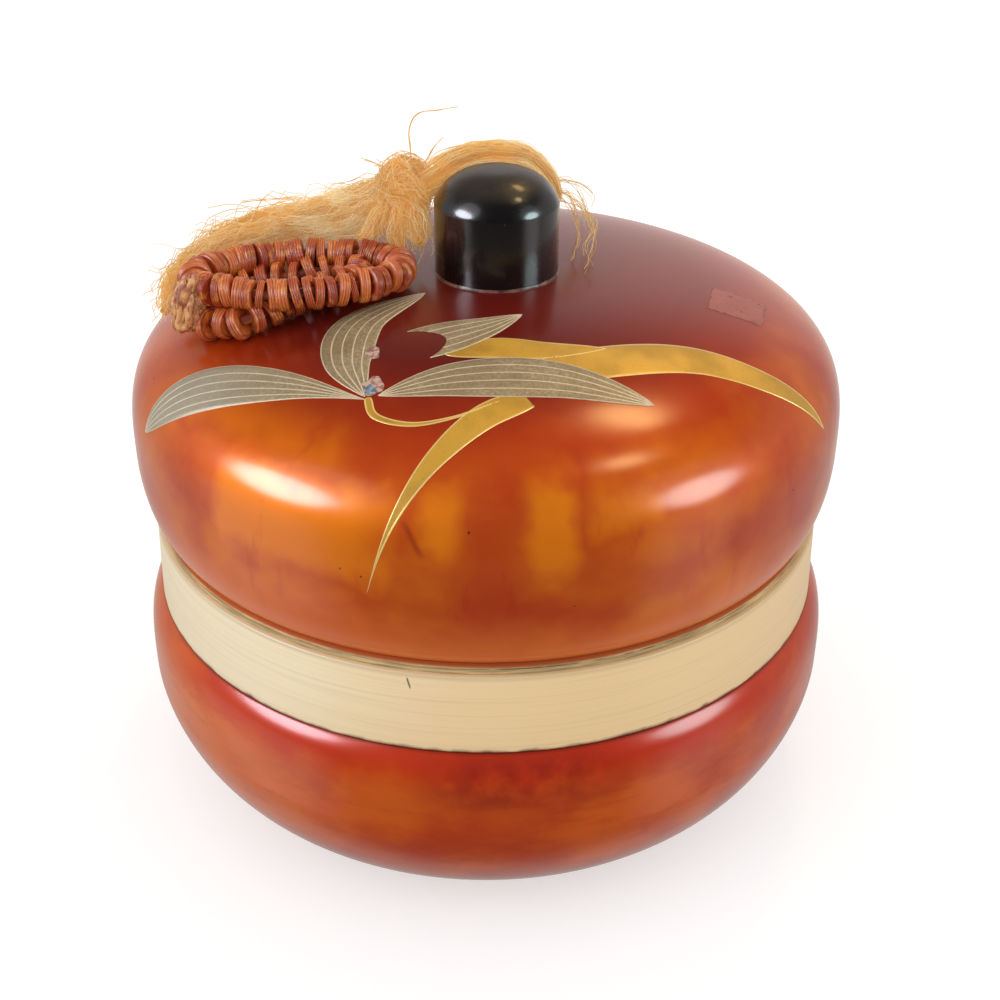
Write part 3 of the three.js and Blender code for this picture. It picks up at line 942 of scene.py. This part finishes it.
disc_radius = 2.75 * mm
upper_pitch = 1.8 * mm
lower_pitch = 2.7 * mm
cord_radius = 0.9 * mm
upper_turn = {"centre": (-30.8, -10.6), "half_length": 16.9, "half_width": 8.6, "angle": 10, "height": 97.5}
lower_turn_plan = [
    (-46.5, -13.5), (-44.5, -17.8), (-38.8, -20), (-32.8, -16.6), (-26.5, -13.2), (-21.5, -10.2),
    (-20.6, -6.8), (-25.5, -6.2), (-32.5, -7), (-39, -7.4), (-44.3, -9),
]


def upper_turn_places():
    tilt = math.radians(upper_turn["angle"])
    places = []
    for i in range(16):
        turn = math.tau * i / 16
        along = upper_turn["half_length"] * math.cos(turn)
        across = upper_turn["half_width"] * math.sin(turn)
        places.append(Vector((upper_turn["centre"][0] + along * math.cos(tilt) - across * math.sin(tilt),
                              upper_turn["centre"][1] + along * math.sin(tilt) + across * math.cos(tilt),
                              upper_turn["height"])))
    return places


def lower_turn_places():
    clearance = disc_radius + 0.3 * mm
    heights = [lid_height(math.hypot(x, y) * mm) + clearance for x, y in lower_turn_plan]
    return [Vector((x, y, height / mm)) for (x, y), height in zip(lower_turn_plan, heights)]


def curve_object(name, lines, closed, radii=None):
    """A curve object of straight-stepped lines given in millimetres, with a radius at each place."""
    curve = bpy.data.curves.new(name, "CURVE")
    curve.dimensions = "3D"
    for number, line in enumerate(lines):
        spline = curve.splines.new("POLY")
        spline.points.add(len(line) - 1)
        spline.use_cyclic_u = closed
        for i, place in enumerate(line):
            spline.points[i].co = (*(place * mm), 1)
            spline.points[i].radius = radii[number][i] if radii else 1.0
    return add_object(name, curve)


def wound_disc():
    """One disc of radius 1 and thickness 1, as an object for the tree to copy: four turns of a fibre wound
    into a ring. Its map runs round it and across its rim."""
    winds = 4
    rim_steps = 20
    section = []
    for i in range(rim_steps + 1):
        side = i / rim_steps - 0.5
        groove = 0.06 * (0.5 + 0.5 * math.cos(math.tau * winds * (side + 0.5)))
        section.append((1 - 0.1 * abs(2 * side) ** 5 - groove, side))
    section += [(0.8, 0.5), (0.5, 0.47), (0.2, 0.4), (0.2, -0.4), (0.5, -0.47), (0.8, -0.5)]
    turns = len(section)
    sides = 30
    mesh = bpy.data.meshes.new("wound disc")
    places = []
    for k in range(sides):
        across = math.cos(math.tau * k / sides)
        along = math.sin(math.tau * k / sides)
        places += [(radius * across, radius * along, height) for radius, height in section]
    faces = []
    marks = []
    for k in range(sides):
        for i in range(turns):
            ahead = (i + 1) % turns
            beyond = (k + 1) % sides
            faces.append((k * turns + i, beyond * turns + i, beyond * turns + ahead, k * turns + ahead))
            marks += [(k, i), (k + 1, i), (k + 1, i + 1), (k, i + 1)]
    mesh.from_pydata(places, [], faces)
    uv = mesh.uv_layers.new(name="UVMap")
    for corner, (k, i) in zip(uv.data, marks):
        corner.uv = (k / sides, i / rim_steps)
    for polygon in mesh.polygons:
        polygon.use_smooth = True
    return add_object("wound disc", mesh)


def threading_tree():
    """Threads copies of a disc along a cord, each a little different, and adds the cord itself."""
    start = new_tree("thread discs on a cord", {
        "Cord": "NodeSocketGeometry", "Disc": "NodeSocketObject", "Disc radius": "NodeSocketFloat",
        "Pitch": "NodeSocketFloat", "Thickness": "NodeSocketFloat", "Cord radius": "NodeSocketFloat",
        "Seed": "NodeSocketInt", "Finish": "NodeSocketMaterial"})
    seed = start.other("Seed")

    def chance(low, high, number):
        kind = "FLOAT_VECTOR" if isinstance(low, tuple) else "FLOAT"
        names = {"Min": low, "Max": high}
        drawn = start.node("FunctionNodeRandomValue", {"data_type": kind}, {"Seed": seed + number},
                           0 if kind == "FLOAT_VECTOR" else 1)
        for name, value in names.items():
            socket = [s for s in drawn.socket.node.inputs if s.name == name and s.enabled][0]
            socket.default_value = value
        return drawn

    places = start.node("GeometryNodeCurveToPoints", {"mode": "LENGTH"}, {
        "Curve": start.other("Cord"), "Length": start.other("Pitch")})
    aimed = start.node("FunctionNodeAlignRotationToVector", {"axis": "Z"}, {
        "Vector": places.other("Tangent")})
    tilt = chance((-0.22, -0.22, 0), (0.22, 0.22, math.tau), 1)
    turned_disc = start.node("FunctionNodeRotateRotation", {"rotation_space": "LOCAL"}, {
        "Rotation": aimed, "Rotate By": start.node("FunctionNodeEulerToRotation", {}, {0: tilt})})
    radius = start.other("Disc radius")
    size = start.node("ShaderNodeCombineXYZ", {}, {
        "X": radius * chance(0.88, 1.06, 2), "Y": radius * chance(0.88, 1.06, 3),
        "Z": start.other("Thickness") * chance(0.65, 1.1, 4)})
    shape = start.node("GeometryNodeObjectInfo", {}, {"Object": start.other("Disc")}, "Geometry")
    moved = start.node("GeometryNodeSetPosition", {}, {
        "Geometry": places, "Offset": chance((-0.0003,) * 3, (0.0003,) * 3, 5)})
    discs = start.node("GeometryNodeInstanceOnPoints", {}, {
        "Points": moved, "Instance": shape, "Rotation": turned_disc, "Scale": size})
    toned = start.node("GeometryNodeStoreNamedAttribute", {"domain": "INSTANCE", "data_type": "FLOAT"}, {
        "Geometry": discs, "Name": "tone", "Value": chance(0.0, 1.0, 6)})
    section = start.node("GeometryNodeCurvePrimitiveCircle", {}, {
        "Resolution": 10, "Radius": start.other("Cord radius")})
    cord = start.node("GeometryNodeCurveToMesh", {}, {
        "Curve": start.other("Cord"), "Profile Curve": section})
    joined = start.tree.nodes.new("GeometryNodeJoinGeometry")
    start.tree.links.new(cord.socket, joined.inputs[0])
    start.tree.links.new(toned.socket, joined.inputs[0])
    end_tree(Wire(start.tree, joined.outputs[0]), start.other("Finish"))
    return start.tree


def disc_finish():
    material, place = new_finish("red-brown discs")
    tone = place.node("ShaderNodeAttribute", {"attribute_name": "tone"}, {}, "Fac")
    flat = place.node("ShaderNodeSeparateXYZ", {}, {0: place.node("ShaderNodeUVMap", {"uv_map": "UVMap"})})
    wound = place.node("ShaderNodeCombineXYZ", {}, {
        "X": flat * 3, "Y": flat.other("Y") * 9, "Z": tone * 60})
    fibres = cloud(wound, 1, 4, 0.65)
    colour = blend(tone, paint(186, 66, 30), paint(236, 124, 54))
    # Painted highlight: random soft yellow-orange patches stand for glints on the discs.
    colour = blend(ease(cloud(place, 1.4, 3), 0.5, 0.7) * 0.7, colour, paint(250, 168, 72))
    # Painted shade: the hollows of the fibre relief and the bottoms of the disc's wound grooves are painted
    # dark.
    colour = blend(ease(fibres, 0.52, 0.38) * 0.6, colour, paint(108, 34, 18))
    groove = (flat.other("Y") * math.tau * 4).maths("COSINE") * 0.5 + 0.5
    colour = blend(ease(groove, 0.75, 1.0) * 0.55, colour, paint(84, 26, 16))
    shade(place, {"Base Color": colour, "Roughness": 0.42, "Coat Weight": 0.25,
                  "Coat Roughness": 0.25}, fibres, 0.12)
    return material


threading = threading_tree()
disc_shape = wound_disc()
disc_material = disc_finish()


def turn_of_discs(name, places, pitch, radius, seed):
    route = curve_object("route", [smooth_path(places, 12, closed=True)], True)
    piece = grown(name, route, threading, {
        "Disc": disc_shape, "Disc radius": radius, "Pitch": pitch, "Thickness": upper_pitch,
        "Cord radius": cord_radius, "Seed": seed, "Finish": disc_material})
    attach(piece, "root")
    return piece


upper_discs = turn_of_discs("upper_turn_of_discs", upper_turn_places(), upper_pitch, disc_radius, 11)
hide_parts("bead_loop")
turn_of_discs("lower_turn_of_discs", lower_turn_places(), lower_pitch, 1.04 * disc_radius, 12)
bpy.data.objects.remove(disc_shape)


def dry_husk():
    material, place = new_finish("dry husk")
    creases = cloud(stretched(place, 1.6, 1.6, 0.35), 1.2, 4, 0.65)
    colour = blend(ease(cloud(place, 1.8, 3), 0.36, 0.62), paint(186, 100, 56), paint(240, 178, 112))
    # Painted shade: the creases of the bumped surface are painted dark.
    colour = blend(ease(creases, 0.5, 0.36) * 0.8, colour, paint(110, 48, 28))
    shade(place, {"Base Color": colour, "Roughness": 0.55, "Coat Weight": 0.2,
                  "Coat Roughness": 0.3}, creases, 0.3)
    return material


husk_centre = Vector((-47.8, -18, 95.2)) * mm
husk_reach = Vector((3.1, 2.6, 5)) * mm
husk_lean = 0.2
husk_mesh = bpy.data.meshes.new("husk")
husk_shape = bmesh.new()
bmesh.ops.create_icosphere(husk_shape, subdivisions=5, radius=1)
for vertex in husk_shape.verts:
    out = vertex.co.copy()
    fold = abs(noise.noise(Vector((out.x * 2.4, out.y * 2.4, out.z * 0.9 + 7))))
    lump = noise.noise(out * 1.6 + Vector((3, 0, 0)))
    out *= 1.02 + 0.22 * lump - 0.42 * math.exp(-fold / 0.07)
    place = Matrix.Rotation(husk_lean, 3, "Y") @ Vector(out * reach for out, reach in zip(out, husk_reach))
    vertex.co = husk_centre + place
husk_shape.to_mesh(husk_mesh)
husk_shape.free()
husk_mesh.materials.append(dry_husk())
for polygon in husk_mesh.polygons:
    polygon.use_smooth = True
husk = add_object("dry_husk", husk_mesh)
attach(husk, "root")


# Tassel
# A hank of raw golden plant fibre laid over the knob's rear edge, bunched in a knot beside it, with a short
# tuft under the knot and a long brush combed out behind the discs. It is not spun, so its hairs stray.

hank_route = [
    (6, 15.6, 94.9), (8.6, 14, 97.6), (10.6, 12, 101), (11.6, 10.2, 104.4), (9.9, 10.2, 107.4),
    (7, 10.9, 109.7), (3, 10.6, 110.5), (-1.8, 10, 110.4), (-6, 8.2, 109.4), (-9.2, 5.6, 108),
    (-12, 4, 106.8),
]
hank_thickness = [1.5, 1.7, 1.5, 1.5, 1.9, 2.3, 2.7, 2.9, 3, 3, 2.8]
brush_locks = [
    ([(-15, 4, 107.5), (-23, 8, 103.8), (-31, 9.2, 100.8), (-40, 8, 99.4), (-48.5, 3.5, 97.2)], 2.6),
    ([(-15, 4, 105.5), (-23, 8.5, 100.5), (-32, 11, 97.6), (-42, 10, 95.3), (-50.5, 5.5, 92)], 3),
    ([(-14, 5, 104), (-22, 11.5, 98.5), (-31, 15, 95.9), (-40, 15.5, 93.4), (-47, 14, 90.8)], 2.8),
    ([(-36, 7, 99.6), (-45.5, 3.5, 97.6), (-50.8, -1.5, 95), (-53, -6, 92.6), (-53.6, -10, 90.4)], 2.4),
]
tuft_locks = [
    ([(-12.6, 1, 105), (-11.4, -0.4, 102.6), (-11, -1, 100.2), (-11.4, -1, 98.8)], 2.6),
    ([(-14.8, 0.5, 105), (-15.2, -0.6, 102.4), (-15.4, -0.6, 100), (-14.6, -0.4, 98.4)], 2.6),
    ([(-16.6, 2, 105), (-18.6, 1, 103), (-19.6, 0.6, 101), (-21.4, 0.6, 99.6)], 2.4),
]
knot_centre = Vector((-13.8, 4, 107))
knot_reach = Vector((4.9, 4, 4.9))
knot_loops = 10
loose_strands = [
    [(7, 14.5, 101), (13.2, 12.5, 103.5), (15.6, 13, 101), (16.4, 16, 97), (16.6, 18.8, 94)],
    [(8, 13.5, 103), (13.6, 10.5, 104), (16.4, 12, 101), (18.2, 14.5, 97), (18.6, 16.4, 94)],
    [(9, 12, 104), (13.8, 9, 103), (16, 7.5, 99), (15.6, 5, 96), (14.7, 3.3, 94.2)],
    [(9, 12, 105), (14.5, 8.5, 104), (18, 7, 101), (18.4, 2.5, 97), (16.8, -2.4, 94.1)],
    [(8, 13, 102), (15, 13.5, 101), (19.5, 10, 99), (17.2, 6, 96), (18.5, 1.5, 94)],
    [(7, 14, 103), (12, 13, 105.5), (16.5, 12.5, 105), (19, 11, 103), (18.4, 10.5, 101.5)],
    [(8, 13, 104), (13.5, 11.5, 106), (16, 11, 104), (18.4, 11.5, 98), (19.6, 13, 94)],
]
curl_hairs = [
    [(-13.2, 5, 108), (-12.7, 5.5, 112), (-12.9, 6, 116.5), (-11.6, 6.3, 119), (-8, 6.6, 119.6),
     (-4.6, 7, 120)],
    [(-12, 5, 109), (-10, 5.8, 111.5), (-8.6, 6.2, 113.6), (-7.2, 6.6, 115)],
    [(-27, 8, 102.5), (-32, 9.5, 103.2), (-38, 9, 103.4), (-42.5, 8, 103)],
    [(-16, 7, 109), (-19, 8.5, 110), (-21.5, 9.5, 110.5)],
]


def hair_tree():
    """Lays loose hairs along guide lines. Each guide's radius is the room that its hairs spread through."""
    start = new_tree("lay loose hairs", {
        "Guides": "NodeSocketGeometry", "Hairs": "NodeSocketInt", "Steps": "NodeSocketInt",
        "Thickness": "NodeSocketFloat", "Waviness": "NodeSocketFloat", "Core": "NodeSocketFloat",
        "Seed": "NodeSocketInt", "Finish": "NodeSocketMaterial"})
    seed = start.other("Seed")
    even = start.node("GeometryNodeResampleCurve", {}, {
        "Curve": start.other("Guides"), "Count": start.other("Steps")})
    copies = start.node("GeometryNodeDuplicateElements", {"domain": "SPLINE"}, {
        "Geometry": even, "Amount": start.other("Hairs")})
    number = start.node("GeometryNodeFieldOnDomain", {"domain": "CURVE", "data_type": "FLOAT"}, {
        0: start.node("GeometryNodeInputIndex")})

    def chance(low, high, extra, owner=number):
        drawn = start.node("FunctionNodeRandomValue", {"data_type": "FLOAT"}, {
            "ID": owner, "Seed": seed + extra}, 1)
        for name, value in {"Min": low, "Max": high}.items():
            socket = [s for s in drawn.socket.node.inputs if s.name == name and s.enabled][0]
            socket.default_value = value
        return drawn

    along = start.node("GeometryNodeSplineParameter")
    lock = chance(0.0, 15.0, 20).maths("FLOOR")
    lock_angle = chance(0.0, math.tau, 21, lock) + along * chance(-1.6, 1.6, 22, lock)
    lock_reach = chance(0.0, 1.0, 23, lock) ** 0.5 * 0.72
    own_angle = chance(0.0, math.tau, 1) + along * chance(-1.5, 1.5, 2)
    own_reach = chance(0.0, 1.0, 3) ** 0.5 * (0.5 - along * 0.2)
    room = start.node("GeometryNodeInputRadius") * mm
    tangent = start.node("GeometryNodeInputTangent")
    normal = start.node("GeometryNodeInputNormal")
    binormal = start.node("ShaderNodeVectorMath", {"operation": "CROSS_PRODUCT"}, {0: tangent, 1: normal})

    def times(vector, factor):
        return start.node("ShaderNodeVectorMath", {"operation": "SCALE"}, {0: vector, "Scale": factor})

    def plus(first, second):
        return start.node("ShaderNodeVectorMath", {"operation": "ADD"}, {0: first, 1: second})

    position = start.node("GeometryNodeInputPosition")
    apart = start.node("ShaderNodeCombineXYZ", {}, {"X": number * 0.37, "Y": number * 0.11, "Z": 0.0})
    own_place = plus(position, apart)
    wander = start.node("ShaderNodeTexNoise", {}, {
        "Vector": own_place, "Scale": 90.0, "Detail": 1.0}, "Color")
    wander = plus(wander, (-0.5, -0.5, -0.5))
    across = room * (lock_reach * lock_angle.maths("COSINE") + own_reach * own_angle.maths("COSINE"))
    beside = room * (lock_reach * lock_angle.maths("SINE") + own_reach * own_angle.maths("SINE"))
    offset = plus(times(normal, across), times(binormal, beside))
    loose = (along * along * 1.2 + 0.6) * (chance(0.0, 1.0, 24) ** 6 * 3 + 0.6)
    offset = plus(offset, times(wander, start.other("Waviness") * loose))
    crinkle = start.node("ShaderNodeTexNoise", {}, {
        "Vector": own_place, "Scale": 420.0, "Detail": 0.0}, "Color")
    offset = plus(offset, times(plus(crinkle, (-0.5, -0.5, -0.5)), start.other("Waviness") * 0.5))
    moved = start.node("GeometryNodeSetPosition", {}, {"Geometry": copies, "Offset": offset})

    axes = start.node("ShaderNodeSeparateXYZ", {}, {0: position})
    x = axes.other("X")
    y = axes.other("Y")
    radius = ((x * x + y * y) ** 0.5 / lid_radius).maths("MINIMUM", 0.999)
    surface = (1 - radius ** dome_powers[0]) ** (1 / dome_powers[1]) * (lid_top - lid_belly_height)
    height = axes.other("Z").maths("MAXIMUM", surface + lid_belly_height + 0.12 * mm)
    from_knob = ((x - knob_centre) * (x - knob_centre) + y * y) ** 0.5
    push = ((knob_radius + 0.15 * mm) / from_knob).maths("MAXIMUM", 1.0)
    beside_knob = axes.other("Z").maths("LESS_THAN", knob_side_top)
    push = 1 + (push - 1) * beside_knob
    rested = start.node("GeometryNodeSetPosition", {}, {
        "Geometry": moved, "Position": start.node("ShaderNodeCombineXYZ", {}, {
            "X": (x - knob_centre) * push + knob_centre, "Y": y * push, "Z": height})})
    trimmed = start.node("GeometryNodeTrimCurve", {}, {
        "Curve": rested, "Start": chance(0.0, 0.06, 7), "End": chance(0.82, 1.0, 8)})
    toned = start.node("GeometryNodeStoreNamedAttribute", {"domain": "CURVE", "data_type": "FLOAT"}, {
        "Geometry": trimmed, "Name": "tone", "Value": chance(0.0, 0.5, 9) + chance(0.0, 0.5, 25, lock)})
    taper = 1 - along ** 4 * 0.6
    sized = start.node("GeometryNodeSetCurveRadius", {}, {
        "Curve": toned, "Radius": taper * chance(0.7, 1.3, 10)})
    section = start.node("GeometryNodeCurvePrimitiveCircle", {}, {
        "Resolution": 3, "Radius": start.other("Thickness")})
    hairs = start.node("GeometryNodeCurveToMesh", {}, {
        "Curve": sized, "Profile Curve": section, "Fill Caps": True})
    core_section = start.node("GeometryNodeCurvePrimitiveCircle", {}, {
        "Resolution": 14, "Radius": start.other("Core")})
    ends = (along / 0.14).maths("MINIMUM", 1.0) * ((1 - along) / 0.3).maths("MINIMUM", 1.0)
    rounded = start.node("GeometryNodeSetCurveRadius", {}, {
        "Curve": even, "Radius": start.node("GeometryNodeInputRadius") * (0.04 + ends ** 0.5)})
    core = start.node("GeometryNodeCurveToMesh", {}, {
        "Curve": rounded, "Profile Curve": core_section, "Fill Caps": True})
    joined = start.tree.nodes.new("GeometryNodeJoinGeometry")
    start.tree.links.new(hairs.socket, joined.inputs[0])
    start.tree.links.new(core.socket, joined.inputs[0])
    end_tree(Wire(start.tree, joined.outputs[0]), start.other("Finish"))
    return start.tree


def raw_fibre():
    """Hair that lets light through. A faint glow of its own stands for what many thin fibres pass on to each
    other, and a hair's far wall is clear, so that its near wall isn't darkened twice."""
    material, place = new_finish("raw fibre")
    tone = place.node("ShaderNodeAttribute", {"attribute_name": "tone"}, {}, "Fac")
    colour = blend(tone, paint(222, 166, 80), paint(255, 242, 196))
    colour = blend(ease(cloud(place, 5, 2), 0.4, 0.65) * 0.6, colour, paint(248, 206, 122))
    x = place.node("ShaderNodeSeparateXYZ", {}, {0: place})
    pale = between(x, -35, -22, 5) * ease(cloud(place, 4, 2), 0.4, 0.55)
    colour = blend(pale * 0.6, colour, paint(255, 246, 214))
    near = place.node("ShaderNodeBsdfPrincipled", {}, {
        "Base Color": colour, "Roughness": 0.5, "Specular IOR Level": 0.3,
        "Emission Color": colour, "Emission Strength": 0.24})
    through = place.node("ShaderNodeBsdfTranslucent", {}, {"Color": colour})
    fibre = place.node("ShaderNodeMixShader", {}, {0: 0.4, 1: near, 2: through})
    inside = place.node("ShaderNodeNewGeometry", {}, {}, "Backfacing")
    open_inside = place.node("ShaderNodeMixShader", {}, {
        0: inside, 1: fibre, 2: place.node("ShaderNodeBsdfTransparent")})
    place.node("ShaderNodeOutputMaterial", {}, {"Surface": open_inside})
    return material


def swelling(radius, count):
    """Radii along a lock: narrow where it leaves the knot, full along it and thin at its tip."""
    places = [(i + 0.5) / count for i in range(count)]
    return [radius * math.sin(math.pi * (0.28 + 0.72 * t)) ** 0.7 for t in places]


hair_growth = hair_tree()
fibre_finish = raw_fibre()


def fibre_piece(name, locks, hairs, steps, thickness, waviness, core, seed):
    lines = [smooth_path(places, 8) for places, _ in locks]
    radii = []
    for line, (_, radius) in zip(lines, locks):
        if isinstance(radius, list):
            stations = np.linspace(0, 1, len(radius))
            radii.append(list(np.interp(np.linspace(0, 1, len(line)), stations, radius)))
        else:
            radii.append(swelling(radius, len(line)))
    guides = curve_object("guides", lines, False, radii)
    piece = grown(name, guides, hair_growth, {
        "Hairs": hairs, "Steps": steps, "Thickness": thickness * mm, "Waviness": waviness * mm,
        "Core": core * mm, "Seed": seed, "Finish": fibre_finish})
    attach(piece, "root")
    return piece


def wisp_guides():
    """Short wisps that stand out of the knot and leave the brush at odd angles."""
    draw = random.Random(9)
    guides = []
    for _ in range(16):
        out = Vector((draw.uniform(-1, 0.6), draw.uniform(-1, 0.3), draw.uniform(-0.9, 1))).normalized()
        out = Vector(a * b for a, b in zip(out, knot_reach))
        bend = Vector((draw.uniform(-1.6, 1.2), draw.uniform(-1, 1), draw.uniform(-1.8, 0.6)))
        tip = knot_centre + out * 1.2 + bend
        guides.append(([knot_centre + out * 0.4, knot_centre + out * 0.85, tip], 0.9))
    for _ in range(20):
        places, reach = draw.choice(brush_locks)
        line = smooth_path(places, 8)
        start = draw.randrange(2, len(line) - 9)
        aside = Vector((0, draw.uniform(-1, 0.4), draw.uniform(-0.2, 1))) * reach
        wisp = [line[start + ahead] + aside * away for ahead, away in ((0, 0.4), (4, 0.9), (8, 1.3))]
        guides.append((wisp, 0.8))
    return guides


def knot_guides():
    """Loops that go round the knot, each leaning its own way."""
    draw = random.Random(4)
    guides = []
    for _ in range(knot_loops):
        spin = Matrix.Rotation(draw.uniform(0, math.pi), 3, "Z")
        spin = spin @ Matrix.Rotation(draw.uniform(0.2, 1.4), 3, "X")
        start = draw.uniform(0, math.tau)
        size = draw.uniform(0.55, 0.95)
        loop = []
        for i in range(9):
            angle = start + math.tau * 0.8 * i / 8
            out = spin @ Vector((math.cos(angle), math.sin(angle), draw.uniform(-0.25, 0.25))) * size
            loop.append(knot_centre + Vector(a * b for a, b in zip(out, knot_reach)))
        guides.append((loop, draw.uniform(1.1, 1.7)))
    return guides


hank = fibre_piece("tassel_hank", [(hank_route, hank_thickness)], 560, 28, 0.075, 1.4, 0.8, 5)
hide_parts("tassel")
fibre_piece("tassel_knot", knot_guides(), 100, 22, 0.075, 3.6, 0.8, 6)
fibre_piece("tassel_brush", brush_locks, 270, 26, 0.075, 4.2, 0.75, 7)
fibre_piece("tassel_tuft", tuft_locks, 150, 18, 0.07, 3.6, 0.6, 8)
fibre_piece("tassel_wisps", wisp_guides(), 16, 14, 0.065, 3.6, 0.05, 14)
fibre_piece("loose_strands", [(places, 0.5) for places in loose_strands], 3, 24, 0.06, 2.4, 0.05, 9)
fibre_piece("curl_hairs", [(places, 0.25) for places in curl_hairs], 2, 20, 0.07, 0.8, 0.06, 10)
